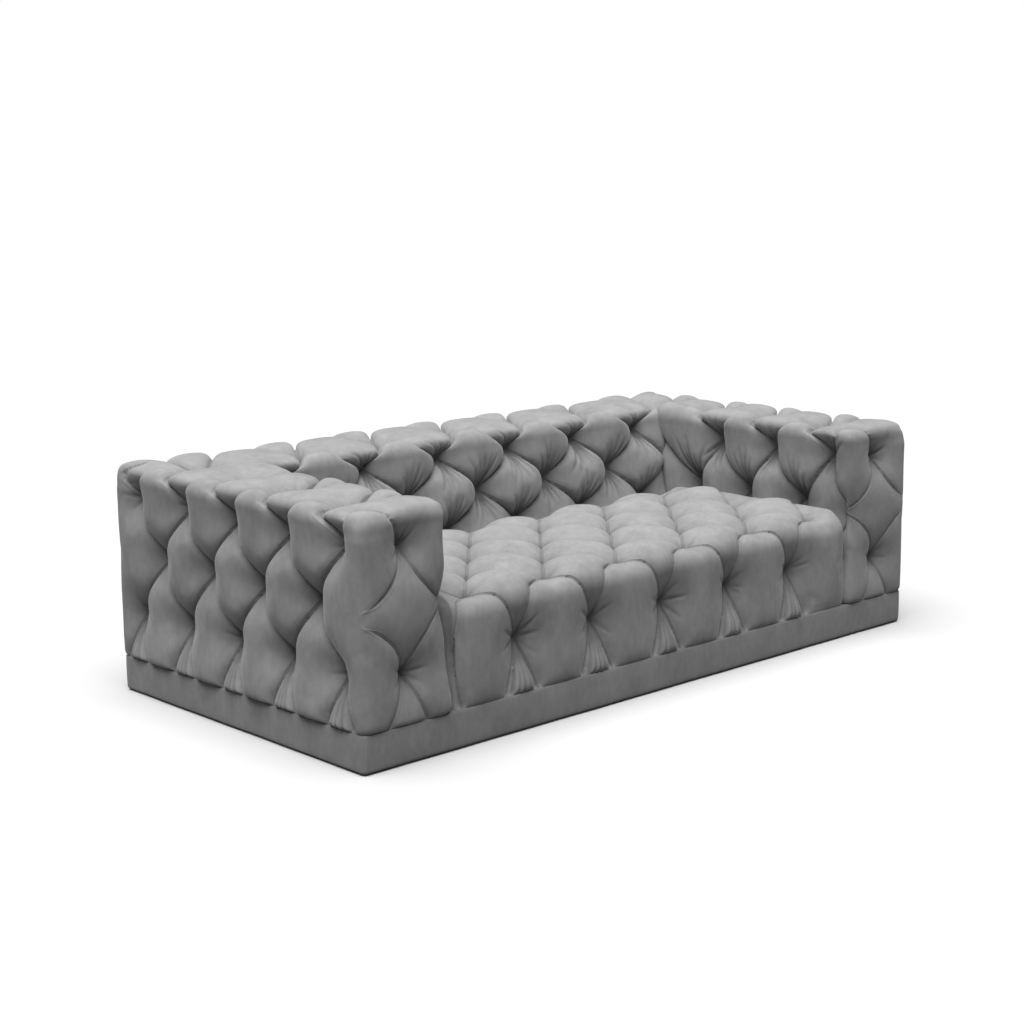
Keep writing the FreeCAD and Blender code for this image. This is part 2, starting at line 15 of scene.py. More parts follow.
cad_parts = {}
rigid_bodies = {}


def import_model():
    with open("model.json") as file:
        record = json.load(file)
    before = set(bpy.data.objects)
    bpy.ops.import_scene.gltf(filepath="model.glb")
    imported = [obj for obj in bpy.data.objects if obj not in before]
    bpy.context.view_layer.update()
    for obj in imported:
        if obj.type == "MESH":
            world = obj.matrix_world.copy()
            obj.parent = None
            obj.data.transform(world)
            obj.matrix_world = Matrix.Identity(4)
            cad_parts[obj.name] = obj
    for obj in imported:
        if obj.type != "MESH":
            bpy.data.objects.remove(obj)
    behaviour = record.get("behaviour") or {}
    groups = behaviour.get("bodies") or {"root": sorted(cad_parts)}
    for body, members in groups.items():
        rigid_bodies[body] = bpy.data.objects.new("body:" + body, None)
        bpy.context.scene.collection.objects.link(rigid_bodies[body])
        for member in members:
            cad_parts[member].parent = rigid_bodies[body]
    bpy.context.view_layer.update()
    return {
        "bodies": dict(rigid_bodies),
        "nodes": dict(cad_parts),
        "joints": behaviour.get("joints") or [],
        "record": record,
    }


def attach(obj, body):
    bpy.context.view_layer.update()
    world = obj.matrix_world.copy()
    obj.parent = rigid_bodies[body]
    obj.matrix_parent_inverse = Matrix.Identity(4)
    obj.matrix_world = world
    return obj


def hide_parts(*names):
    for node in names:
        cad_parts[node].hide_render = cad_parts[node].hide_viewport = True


LOG = logging.getLogger("sofa")
Array = np.ndarray
Point = tuple[float, float, float]
ACROSS: Point = (1, 0, 0)
AHEAD: Point = (0, 1, 0)
UPWARD: Point = (0, 0, 1)
Feed = NodeSocket | float | int


class Side(Enum):
    """The two arms, by the sign of their X."""

    LEFT = -1
    RIGHT = 1


class Effect(Enum):
    """The shared surface effects, each one node group."""

    GRAIN = "wood_grain"
    WEAVE = "plain_weave"
    SPANGLE = "zinc_spangle"


class Run(Enum):
    """The way that a board's grain runs, as the scale of its coordinates."""

    ALONG_X = (0.06, 1.0, 1.0)
    ALONG_Y = (1.0, 0.06, 1.0)
    UPRIGHT = (1.0, 1.0, 0.06)
    EVEN = (1.0, 1.0, 1.0)


def add_object(name: str, mesh: Mesh, material: Material) -> Object:
    """Puts a mesh in the scene as an object that rides on the sofa's one body.

    Args:
        name: The piece's name.
        mesh: Its mesh, placed in the sofa's frame.
        material: The finish of all its faces.

    Returns:
        The new object.
    """
    piece = bpy.data.objects.new(name, mesh)
    bpy.context.scene.collection.objects.link(piece)
    mesh.materials.clear()
    mesh.materials.append(material)
    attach(piece, "root")
    LOG.info("%s: %d faces", name, len(mesh.polygons))
    return piece


def mesh_from_arrays(name: str, points: Array, faces: list[Array]) -> Mesh:
    """Makes a mesh from point and face arrays.

    Args:
        name: The mesh's name.
        points: Vertex positions, one row each.
        faces: Arrays of vertex numbers, each with its own count of corners per row.

    Returns:
        The mesh, shaded smooth.
    """
    corners = np.concatenate([rows.ravel() for rows in faces]).astype(np.int32)
    counts = np.concatenate([np.full(len(rows), rows.shape[1], np.int32) for rows in faces])
    starts = np.concatenate([[0], np.cumsum(counts)[:-1]]).astype(np.int32)
    mesh = bpy.data.meshes.new(name)
    mesh.vertices.add(len(points))
    mesh.vertices.foreach_set("co", points.astype(np.float32).ravel())
    mesh.loops.add(len(corners))
    mesh.loops.foreach_set("vertex_index", corners)
    mesh.polygons.add(len(counts))
    mesh.polygons.foreach_set("loop_start", starts)
    mesh.polygons.foreach_set("loop_total", counts)
    mesh.update(calc_edges=True)
    mesh.validate()
    mesh.polygons.foreach_set("use_smooth", np.ones(len(mesh.polygons), bool))
    mesh.update()
    return mesh


@dataclass
class Seam:
    """A sewn pleat or a wrinkle: its route over the sharp-edged block and how far it is drawn in.

    Attributes:
        route: Points on the block's faces, joined by straight runs.
        ends: How far the first and the last point are drawn in.
        depth: How far the middle is drawn in.
        reach: How fast the depth passes from the ends to the middle.
    """

    TUFT_DEPTH = 0.03

    route: list[Point]
    ends: tuple[float, float]
    depth: float
    reach: float = 0.045

    def tufts(self) -> list[Point]:
        """The ends that are drawn in deep enough to be tufts."""
        both = zip((self.route[0], self.route[-1]), self.ends)
        return [spot for spot, end in both if end > self.TUFT_DEPTH]

    def sample(self, step: float) -> tuple[Array, Array]:
        """Walks along the route.

        Args:
            step: The distance between samples.

        Returns:
            The sampled points on the block and the depth at each.
        """
        points = np.array(self.route, float)
        lengths = np.linalg.norm(np.diff(points, axis=0), axis=1)
        along = np.concatenate([[0.0], np.cumsum(lengths)])
        count = max(int(along[-1] / step), 2)
        where = np.linspace(0.0, along[-1], count + 1)
        spots = np.stack([np.interp(where, along, points[:, axis]) for axis in range(3)], axis=1)
        depths = np.full(len(where), self.depth)
        depths += (self.ends[0] - self.depth) * np.exp(-where / self.reach)
        depths += (self.ends[1] - self.depth) * np.exp(-(along[-1] - where) / self.reach)
        return spots, depths


def bend(start: Point, control: Point, end: Point, count: int = 10) -> list[Point]:
    """A quadratic curve from start to end, pulled towards a control point.

    Args:
        start: First point.
        control: The point that the curve bends towards.
        end: Last point.
        count: The number of runs.

    Returns:
        The points of the curve, both ends included.
    """
    a, b, c = (np.array(point) for point in (start, control, end))
    steps = np.linspace(0.0, 1.0, count + 1)[:, None]
    curve = (1 - steps) ** 2 * a + 2 * steps * (1 - steps) * b + steps**2 * c
    return [tuple(point) for point in curve]


@dataclass
class Block:
    """A sharp-edged block of boxes on shared grid lines, whose skin is rounded and tufted.

    Attributes:
        boxes: Lowest and highest corner of each box.
        rounding: Radii of the convex edges along X, Y and Z.
        cell: Spacing of the skin's vertices.
        rake: Tangent of the rake of the inner back, zero where there is none.
    """

    boxes: list[tuple[Point, Point]]
    rounding: Point
    cell: float
    rake: float = 0.0
    points: Array = field(init=False)
    normals: Array = field(init=False)
    quads: Array = field(init=False)
    sharp: Array = field(init=False)

    def grid_lines(self, axis: int) -> Array:
        """The grid lines along one axis, through every box wall.

        Args:
            axis: 0, 1 or 2.

        Returns:
            The places of the lines.
        """
        walls = sorted({round(corner[axis], 6) for box in self.boxes for corner in box})
        runs = []
        for low, high in zip(walls, walls[1:]):
            count = max(round((high - low) / self.cell), 1)
            runs.append(np.linspace(low, high, count + 1)[:-1])
        return np.concatenate(runs + [[walls[-1]]])

    def build(self) -> None:
        """Makes the skin's vertices, quads and normals, open underneath."""
        lines = [self.grid_lines(axis) for axis in range(3)]
        middles = [(row[1:] + row[:-1]) / 2 for row in lines]
        filled = np.zeros([len(row) for row in middles], bool)
        for low, high in self.boxes:
            inside = [(row > a) & (row < b) for row, a, b in zip(middles, low, high)]
            filled |= inside[0][:, None, None] & inside[1][None, :, None] & inside[2][None, None, :]
        shape = [len(row) for row in lines]
        quads = []
        for axis in range(3):
            padded = np.pad(filled, [(1, 1) if other == axis else (0, 0) for other in range(3)])
            before = np.take(padded, range(0, padded.shape[axis] - 1), axis)
            after = np.take(padded, range(1, padded.shape[axis]), axis)
            first, second = [other for other in range(3) if other != axis]
            for wall, turned in ((before & ~after, axis == 1), (after & ~before, axis != 1)):
                cell = np.argwhere(wall)
                if axis == 2:
                    cell = cell[cell[:, 2] > 0]
                corners = []
                for step_a, step_b in ((0, 0), (1, 0), (1, 1), (0, 1)):
                    corner = cell.copy()
                    corner[:, first] += step_a
                    corner[:, second] += step_b
                    corners.append(np.ravel_multi_index(corner.T, shape))
                quad = np.stack(corners, axis=1)
                quads.append(quad[:, ::-1] if turned else quad)
        used, faces = np.unique(np.concatenate(quads), return_inverse=True)
        self.quads = faces.reshape(-1, 4)
        index = np.unravel_index(used, shape)
        self.sharp = np.stack([row[i] for row, i in zip(lines, index)], axis=1)
        self.points = self.rounded(self.sharp)
        self.normals = vertex_normals(self.points, self.quads)

    def upright_edges(self) -> Array:
        """The X and Y of the block's convex upright edges.

        Returns:
            One row for each edge.
        """
        corners = {(x, y) for low, high in self.boxes for x in (low[0], high[0]) for y in (low[1], high[1])}
        edges = []
        for x, y in sorted(corners):
            around = [(low, high) for low, high in self.boxes
                      if low[0] <= x <= high[0] and low[1] <= y <= high[1]]
            if all(x in (low[0], high[0]) and y in (low[1], high[1]) for low, high in around):
                edges.append((x, y))
        return np.array(edges)

    def rounded(self, places: Array) -> Array:
        """Moves points of the sharp block onto its rounded and raked skin.

        Args:
            places: Points on the sharp block's faces.

        Returns:
            The same points on the rounded skin.
        """
        best = np.full(len(places), np.inf)
        result = places.copy()
        radii = np.array(self.rounding)
        for low, high in self.boxes:
            inner_low = np.array(low) + radii
            inner_high = np.array(high) - radii
            inner_low[2] = -1.0
            core = np.clip(places, inner_low, inner_high)
            away = (places - core) / radii
            distance = np.linalg.norm(away, axis=1)
            moved = core + away / np.maximum(distance, 1e-9)[:, None] * radii
            nearer = distance < best
            best[nearer] = distance[nearer]
            result[nearer] = moved[nearer]
        if self.rake:
            result = self.raked(result)
        return result

    def raked(self, places: Array) -> Array:
        """Leans the inner side of the back; the arms' inner sides follow it at the corner.

        Args:
            places: Points on the rounded skin.

        Returns:
            The leaned points.
        """
        (left, front, _), (inside, rear, top) = self.boxes[0]
        back = self.boxes[2][0][1]
        width = abs(inside - left)
        x, y, z = places.T
        inward = np.clip((abs(left) - np.abs(x)) / width, 0, 1)
        along_arm = np.clip((y - front) / (back - front), 0, 1) ** 2
        along_arm = np.where(np.abs(x) < abs(inside) - 1e-4, 1.0, along_arm)
        through_back = np.clip((rear - y) / (rear - back), 0, 1)
        lean = inward * np.where(y > back, through_back, along_arm)
        result = places.copy()
        result[:, 1] -= (top - z) * self.rake * lean
        return result


def vertex_normals(points: Array, quads: Array) -> Array:
    """The area-weighted unit normals of a quad mesh's vertices.

    Args:
        points: The vertices.
        quads: The faces.

    Returns:
        One normal for each vertex.
    """
    a, b, c, d = (points[quads[:, corner]] for corner in range(4))
    face = np.cross(c - a, d - b)
    total = np.zeros_like(points)
    for corner in range(4):
        for axis in range(3):
            total[:, axis] += np.bincount(quads[:, corner], face[:, axis], len(points))
    return total / np.maximum(np.linalg.norm(total, axis=1), 1e-12)[:, None]


def edges_of(quads: Array) -> Array:
    """The four edges of every quad, one row of two vertex numbers each."""
    return np.concatenate([quads[:, [i, (i + 1) % 4]] for i in range(4)])


class Membrane:
    """A skin's vertices as a net of springs, used to swell it between its sewn pleats."""

    MAX_NEIGHBOURS = 8
    ACCURACY = 1e-10
    LABEL_ROUNDS = 1200

    def __init__(self, count: int, quads: Array) -> None:
        """Finds each vertex's neighbours.

        Args:
            count: The number of vertices.
            quads: The faces.
        """
        pairs = np.unique(np.sort(edges_of(quads), axis=1), axis=0)
        both = np.concatenate([pairs, pairs[:, ::-1]])
        both = both[np.argsort(both[:, 0], kind="stable")]
        self.degree = np.bincount(both[:, 0], minlength=count)
        starts = np.concatenate([[0], np.cumsum(self.degree)[:-1]])
        slot = np.arange(len(both)) - starts[both[:, 0]]
        self.table = np.full((count, self.MAX_NEIGHBOURS), count)
        self.table[both[:, 0], slot] = both[:, 1]
        self.count = count

    def neighbour_sum(self, values: Array) -> Array:
        """Adds up each vertex's neighbours.

        Args:
            values: One number for each vertex.

        Returns:
            The sum over each vertex's neighbours.
        """
        padded = np.append(values, 0.0)
        total = padded[self.table[:, 0]]
        for column in range(1, self.MAX_NEIGHBOURS):
            total += padded[self.table[:, column]]
        return total

    def solve(self, fixed: Array, held: Array, load: Array, rounds: int = 260) -> Array:
        """Finds the shape that a stretched net takes under a load.

        Args:
            fixed: Which vertices are held.
            held: The height of the held vertices.
            load: The load on each vertex.
            rounds: The most steps of the conjugate-gradient search.

        Returns:
            The height of every vertex.
        """
        free = ~fixed
        height = np.where(fixed, held, held[fixed].mean())

        def pull(values: Array) -> Array:
            """The net's pull on its free vertices."""
            return np.where(free, self.degree * values - self.neighbour_sum(values), 0.0)

        residual = np.where(free, load, 0.0) - pull(height)
        direction = residual.copy()
        size = residual @ residual
        first = size
        for _ in range(rounds):
            if size <= first * self.ACCURACY:
                break
            answer = pull(np.where(free, direction, 0.0))
            step = size / (direction @ answer)
            height += step * direction
            residual -= step * answer
            new_size = residual @ residual
            direction = residual + direction * (new_size / size)
            size = new_size
        return height

    def lobes(self, fixed: Array) -> Array:
        """Numbers the patches of free vertices that the held ones divide.

        Args:
            fixed: Which vertices are held.

        Returns:
            For each vertex, the lowest vertex number in its patch.
        """
        label = np.append(np.where(fixed, self.count, np.arange(self.count)), self.count)
        for _ in range(self.LABEL_ROUNDS):
            lowest = label[self.table].min(axis=1)
            moved = np.where(fixed, self.count, np.minimum(label[:-1], lowest))
            moved = np.where(fixed, self.count, np.minimum(moved, label[np.minimum(moved, self.count)]))
            if np.array_equal(moved, label[:-1]):
                break
            label[:-1] = moved
        return np.where(fixed, np.arange(self.count), label[:-1])

    def relaxed(self, points: Array, fixed: Array, amount: float, rounds: int) -> Array:
        """Evens out the free vertices by moving them towards their neighbours' middle.

        Args:
            points: The vertices.
            fixed: Which of them are held.
            amount: The share of the way that each moves.
            rounds: How often.

        Returns:
            The moved vertices.
        """
        result = points.copy()
        for _ in range(rounds):
            middle = np.stack([self.neighbour_sum(result[:, axis]) for axis in range(3)], axis=1)
            middle /= self.degree[:, None]
            result = np.where(fixed[:, None], result, result + amount * (middle - result))
        return result


@dataclass(frozen=True)
class ClothPass:
    """A short cloth simulation under air pressure, with the sewn lines held.

    Attributes:
        pressure: The pressure from inside.
        growth: How much larger the cloth is cut than the form, so that it buckles.
        frames: The number of steps.
        cap: The farthest that a point may move.
        quality: Steps of the solver in each frame.
        mass: The mass of a vertex.
        damping: How fast moves die down.
        stretch: Stiffness against stretching and squeezing.
        shear: Stiffness against shearing.
        bending: Stiffness against bending.
    """

    pressure: float = 3.0
    growth: float = 0.003
    frames: int = 12
    cap: float = 0.005
    quality: int = 4
    mass: float = 0.25
    damping: float = 4.0
    stretch: float = 25.0
    shear: float = 6.0
    bending: float = 3.0

    def offsets(self, points: Array, faces: list[Array], held: Array) -> Array:
        """Runs the simulation on a copy of a skin.

        Args:
            points: The skin's vertices.
            faces: Its faces.
            held: Which vertices are sewn down.

        Returns:
            How far each vertex moved, capped.
        """
        mesh = mesh_from_arrays("cloth_copy", points, faces)
        copy = bpy.data.objects.new("cloth_copy", mesh)
        scene = bpy.context.scene
        scene.collection.objects.link(copy)
        group = copy.vertex_groups.new(name="sewn")
        group.add(np.flatnonzero(held).tolist(), 1.0, "REPLACE")
        modifier = copy.modifiers.new("cloth", "CLOTH")
        settings = modifier.settings
        settings.quality = self.quality
        settings.mass = self.mass
        settings.air_damping = self.damping
        settings.tension_stiffness = self.stretch
        settings.compression_stiffness = self.stretch
        settings.shear_stiffness = self.shear
        settings.bending_stiffness = self.bending
        settings.vertex_group_mass = "sewn"
        settings.shrink_min = -self.growth
        settings.use_pressure = True
        settings.uniform_pressure_force = self.pressure
        settings.effector_weights.gravity = 0.0
        modifier.point_cache.frame_start = 1
        modifier.point_cache.frame_end = self.frames
        for frame in range(1, self.frames + 1):
            scene.frame_set(frame)
        final = copy.evaluated_get(bpy.context.evaluated_depsgraph_get()).to_mesh()
        moved = np.zeros(len(points) * 3, np.float32)
        final.vertices.foreach_get("co", moved)
        shift = moved.reshape(-1, 3) - points
        bpy.data.objects.remove(copy)
        bpy.data.meshes.remove(mesh)
        scene.frame_set(1)
        size = np.linalg.norm(shift, axis=1)
        LOG.info("cloth moved %.1f mm at most, %.1f mm on average", size.max() * 1000, size.mean() * 1000)
        shrunk = self.cap * np.tanh(size / self.cap) / np.maximum(size, 1e-9)
        return shift * shrunk[:, None]


@dataclass
class TuftedSkin:
    """A block's skin drawn in along its seams and swollen between them.

    Attributes:
        block: The block that is upholstered.
        seams: The sewn pleats.
        wrinkles: Finer, shallow folds.
        proud: How far the fuller lobes stand beyond the block's faces.
        hem_depth: How far the lower hem is drawn in.
        seed: The seed of the lobes' unevenness.
        fullness: Below 1, how steeply the lobes rise from their pleats.
        sag: How far the lobes on a wall hang, as a share of their rise.
        lean: How far the lobes fold over sideways, as a share of their rise.
        plateau: Smaller makes the lobes flatter on top.
        pit_pull: How much lower the lobes are at a tuft.
        pit_width: How far that reaches.
        top_lift: How much higher the lobes on top stand.
        overhang: How far the lobe beside a tuft hangs over it.
        calm_front: How much flatter the lobes on the front are.
        calm_rear: How much flatter the lobes along the rear are.
        corner_reach: How far from the outer upright corners the lobes run straight, zero for nowhere.
        shade: How strongly low places are shaded.
        fold_shade: How strongly the fine folds are shaded, per metre of depth.
        sample_step: The distance between the samples of a pleat.
        wrinkle_width: The half-width of a fine fold.
    """

    PIN_SHARE = 0.53
    FAINT_DEPTH = 0.003
    FAINT_AWAY = 0.012
    TUFT_SHADE = 0.75
    TUFT_REACH = 0.028
    PLEAT_SHADE = 0.45
    PLEAT_REACH = 0.0045
    SUMMIT_SHARE = 0.9
    STEEPEST = 1.3
    UNEVENNESS = 0.06
    FULL_FOLD = 0.010
    SHADED_DEPTH = 0.055
    EDGE_ROOM = 0.09
    FRONT_REACH = 0.07
    REAR_REACH = 0.20
    CORNER_END = 0.06
    HANG_FROM = 0.11
    HANG_OVER = 0.06

    block: Block
    seams: list[Seam]
    wrinkles: list[Seam]
    proud: float
    hem_depth: float
    seed: int
    fullness: float = 0.54
    sag: float = 0.07
    lean: float = 0.42
    plateau: float = 0.6
    pit_pull: float = 0.52
    pit_width: float = 0.064
    top_lift: float = 0.0
    overhang: float = 0.0
    calm_front: float = 0.0
    calm_rear: float = 0.0
    corner_reach: float = 0.0
    shade: float = 0.6
    fold_shade: float = 85.0
    sample_step: float = 0.0006
    wrinkle_width: float = 0.0048
    points: Array = field(init=False)
    pinned: Array = field(init=False)
    hem: Array = field(init=False)
    pleat: Array = field(init=False)
    # pit holds painted shade: how much darker each vertex is painted in pits, along pleats and folds and in
    # low places.
    pit: Array = field(init=False)
    held: Array = field(init=False)

    def build(self) -> None:
        """Pins the pleats, swells the lobes and adds the wrinkles."""
        block = self.block
        block.build()
        points, floor = self.pin()
        net = Membrane(len(points), block.quads)
        base = net.solve(self.held, floor, np.zeros(len(points)))
        rise = self.lobe_rise(net, points, base)
        height = base + rise
        height += self.cornering(block.sharp) * (self.proud - height)
        points = points + block.normals * height[:, None]
        steep = 1.0 - block.normals[:, 2] ** 2
        hanging = np.clip((points[:, 2] - self.HANG_FROM) / self.HANG_OVER, 0, 1)
        points[:, 2] -= self.sag * rise * steep * hanging
        points[:, :2] += (self.lean * rise * self.roominess(block.sharp))[:, None] * self.sideways()
        # Painted shade: the low places between the lobes are painted darker.
        low = np.clip((self.proud - height) / self.SHADED_DEPTH, 0, 1)
        self.pit = np.clip(self.pit + self.shade * low**1.5, 0, 1)
        points = net.relaxed(points, self.held, amount=0.4, rounds=2)
        fold = self.folds(block.points) * np.clip(rise / self.FULL_FOLD, 0, 1)
        self.points = points + block.normals * fold[:, None]
        # Painted shade: darker along the fine folds.
        self.pit = np.clip(self.pit - fold * self.fold_shade, 0, 1)

    def pin(self) -> tuple[Array, Array]:
        """Pins the vertices along the pleats and the hem, and paints shade into the pits and along the
        pleats.

        Returns:
            The vertices, with the pinned ones moved onto their pleats, and the height of the held ones.
        """
        block = self.block
        sampled = [seam.sample(self.sample_step) for seam in self.seams]
        route = np.concatenate([spot for spot, _ in sampled])
        spots = block.rounded(route)
        depths = np.concatenate([depth for _, depth in sampled])
        straight = np.concatenate([straightness(spot) for spot, _ in sampled])
        nearest, apart = nearest_samples(route, block.sharp)
        self.pinned = apart < self.PIN_SHARE * straight[nearest] * block.cell
        self.hem = block.sharp[:, 2] < block.sharp[:, 2].min() + 1e-5
        self.held = self.pinned | self.hem
        moved = self.moved_pins(route[nearest], apart)
        closest, distance = nearest_samples(spots, block.points)
        faint = 1.0 - np.clip((depths[closest] + self.proud) / self.FAINT_DEPTH, 0, 1)
        self.pleat = np.where(self.pinned, 0.0, distance) + self.FAINT_AWAY * faint
        # Painted shade: darker near the tufts and along the pleats.
        _, far = nearest_samples(self.tufts(), block.points)
        by_tuft = self.TUFT_SHADE * np.exp(-far / self.TUFT_REACH)
        by_pleat = self.PLEAT_SHADE * np.exp(-self.pleat / self.PLEAT_REACH)
        self.pit = np.clip(by_tuft + by_pleat, 0, 1)
        floor = np.where(self.pinned, -depths[nearest], -self.hem_depth)
        return np.where(moved[:, None], spots[nearest], block.points), floor

    def tufts(self) -> Array:
        """The tufts on the rounded skin."""
        return self.block.rounded(np.array([end for seam in self.seams for end in seam.tufts()]))

    def sideways(self) -> Array:
        """The level way that a lobe leans in at each vertex."""
        return np.stack([-self.block.normals[:, 1], -self.block.normals[:, 0]], axis=1)

    def lobe_rise(self, net: Membrane, points: Array, base: Array) -> Array:
        """Swells the lobes between the held vertices.

        Args:
            net: The skin's net.
            points: The vertices.
            base: The height of the slack skin between the held vertices.

        Returns:
            How far each vertex rises from the slack skin.
        """
        block = self.block
        total = len(points)
        swell = net.solve(self.held, np.zeros(total), np.full(total, block.cell**2))
        swell = np.maximum(swell, 0.0)
        lobe = net.lobes(self.held)
        largest = np.zeros(total)
        np.maximum.at(largest, lobe, swell)
        near_top = swell > self.SUMMIT_SHARE * largest[lobe]
        level = np.bincount(lobe[near_top], base[near_top], total)
        count = np.bincount(lobe[near_top], minlength=total)
        summit = level / np.maximum(count, 1)
        crown = np.minimum(self.proud - summit, self.STEEPEST * np.sqrt(largest))
        crown = crown[lobe] + self.top_lift * np.clip(block.normals[:, 2], 0, 1)
        share = np.where(self.held, 0.0, swell / np.maximum(largest[lobe], 1e-12))
        share = share * (1.0 + self.plateau) / (share + self.plateau)
        rise = crown * share**self.fullness * (1.0 + self.UNEVENNESS * self.unevenness(points))
        shifted = block.points.copy()
        shifted[:, :2] -= self.overhang * self.sideways()
        _, near = nearest_samples(self.tufts(), shifted)
        rise *= 1.0 - self.pit_pull * np.exp(-((near / self.pit_width) ** 2))
        rise *= self.calmness(block.sharp[:, 1])
        return np.where(self.held, 0.0, rise)

    def settle(self, cloth: ClothPass) -> None:
        """Lets a coarser copy of the skin settle as cloth, and follows its moves.

        Args:
            cloth: The simulation's settings.
        """
        block = Block(self.block.boxes, self.block.rounding, self.block.cell * 2, self.block.rake)
        coarse = replace(self, block=block)
        coarse.build()
        everything = np.ones(len(block.quads), bool)
        moves = cloth.offsets(coarse.points, coarse.faces(everything), coarse.held)
        moves = Membrane(len(block.points), block.quads).relaxed(moves, coarse.held, amount=0.5, rounds=3)
        tree = search_tree(block.points)
        found = [tree.find_n(spot, 4) for spot in self.block.points]
        number = np.array([[item[1] for item in row] for row in found])
        away = np.array([[item[2] for item in row] for row in found])
        weight = 1.0 / (away + 0.001) ** 2
        weight /= weight.sum(axis=1, keepdims=True)
        follow = (moves[number] * weight[:, :, None]).sum(axis=1)
        self.points = self.points + np.where(self.held[:, None], 0.0, follow)

    def moved_pins(self, spots: Array, distance: Array) -> Array:
        """Chooses the pinned vertices that move onto their pleat, without two at one spot.

        Args:
            spots: The nearest sample to each vertex.
            distance: Its distance.

        Returns:
            Which vertices move.
        """
        moved = self.pinned.copy()
        pairs = edges_of(self.block.quads)
        pairs = pairs[moved[pairs].all(axis=1)]
        gap = np.linalg.norm(spots[pairs[:, 0]] - spots[pairs[:, 1]], axis=1)
        pairs = pairs[gap < 0.45 * self.block.cell]
        farther = np.where(distance[pairs[:, 0]] > distance[pairs[:, 1]], pairs[:, 0], pairs[:, 1])
        moved[farther] = False
        return moved

    def roominess(self, places: Array) -> Array:
        """From 0 at the block's upright edges to 1 in the open, so that no edge is pushed out.

        Args:
            places: Points on the sharp block.

        Returns:
            The share at each point.
        """
        edges = self.block.upright_edges()
        apart = np.linalg.norm(places[:, None, :2] - edges[None], axis=2).min(axis=1)
        return np.clip(apart / self.EDGE_ROOM, 0, 1)

    def calmness(self, ahead: Array) -> Array:
        """The share of their rise that the lobes keep near the front and the rear, from their Y.

        Args:
            ahead: The Y of each vertex.

        Returns:
            The share at each vertex.
        """
        from_front = np.clip(1.0 - (ahead - ahead.min()) / self.FRONT_REACH, 0, 1)
        from_front = from_front**2 * (3.0 - 2.0 * from_front)
        from_rear = np.clip(1.0 - (ahead.max() - ahead) / self.REAR_REACH, 0, 1)
        return (1.0 - self.calm_front * from_front) * (1.0 - self.calm_rear * from_rear)

    def cornering(self, places: Array) -> Array:
        """From 1 on the block's outer upright corners to 0 away from them and at their ends.

        Args:
            places: Points on the sharp block.

        Returns:
            The share at each point.
        """
        if not self.corner_reach:
            return np.zeros(len(places))
        room = np.minimum(places - places.min(axis=0), places.max(axis=0) - places)
        apart = room[:, :2].max(axis=1)
        ending = np.clip(room[:, 2] / self.CORNER_END, 0, 1)
        return np.exp(-((apart / self.corner_reach) ** 2)) * ending

    def unevenness(self, points: Array) -> Array:
        """A slow, seeded variation between about -1 and 1 over the skin.

        Args:
            points: The vertices.

        Returns:
            The variation at each vertex.
        """
        draw = np.random.default_rng(self.seed)
        total = np.zeros(len(points))
        for _ in range(6):
            wave = draw.normal(0.0, 9.0, 3)
            total += np.sin(points @ wave + draw.uniform(0, 2 * math.pi))
        return total / 3.0

    def folds(self, points: Array) -> Array:
        """The depth of the fine wrinkles at each vertex, as negative heights.

        Args:
            points: The vertices on the rounded skin.

        Returns:
            The height at each vertex.
        """
        sampled = [seam.sample(self.sample_step * 2) for seam in self.wrinkles]
        spots = self.block.rounded(np.concatenate([spot for spot, _ in sampled]))
        depths = np.concatenate([depth for _, depth in sampled])
        nearest, distance = nearest_samples(spots, points)
        return -depths[nearest] * np.exp(-((distance / self.wrinkle_width) ** 2))

    def faces(self, chosen: Array) -> list[Array]:
        """The chosen quads, cut in two along the pleats that cross them.

        Args:
            chosen: Which of the block's quads to take.

        Returns:
            An array of quads and one of triangles.
        """
        quads = self.block.quads[chosen]
        pin = self.pinned[quads]
        first = pin[:, 0] & pin[:, 2] & ~(pin[:, 1] & pin[:, 3])
        second = pin[:, 1] & pin[:, 3] & ~(pin[:, 0] & pin[:, 2])
        cut_first = quads[first]
        cut_second = quads[second]
        triangles = [cut_first[:, [0, 1, 2]], cut_first[:, [0, 2, 3]]]
        triangles += [cut_second[:, [0, 1, 3]], cut_second[:, [1, 2, 3]]]
        return [quads[~(first | second)], np.concatenate(triangles)]

    def caps(self, chosen: Array, rims: list[Array]) -> list[Array]:
        """Hidden faces that close the open rims of the chosen quads.

        Args:
            chosen: Which of the block's quads the piece has.
            rims: For each rim, which of the skin's vertices lie on it.

        Returns:
            One face for each rim, as an array with one row.
        """
        edges = edges_of(self.block.quads[chosen])
        key = np.sort(edges, axis=1) @ np.array([len(self.points), 1])
        _, first, count = np.unique(key, return_index=True, return_counts=True)
        border = edges[first[count == 1]]
        faces = []
        for rim in rims:
            inside = border[rim[border].all(axis=1)]
            following = dict(zip(inside[:, 1].tolist(), inside[:, 0].tolist()))
            starts = [vertex for vertex in following if vertex not in set(following.values())]
            loop = []
            for start in starts or [next(iter(following))]:
                loop.append(start)
                vertex = following[start]
                while vertex != start:
                    loop.append(vertex)
                    if vertex not in following:
                        break
                    vertex = following[vertex]
            faces.append(np.array([loop]))
        return faces

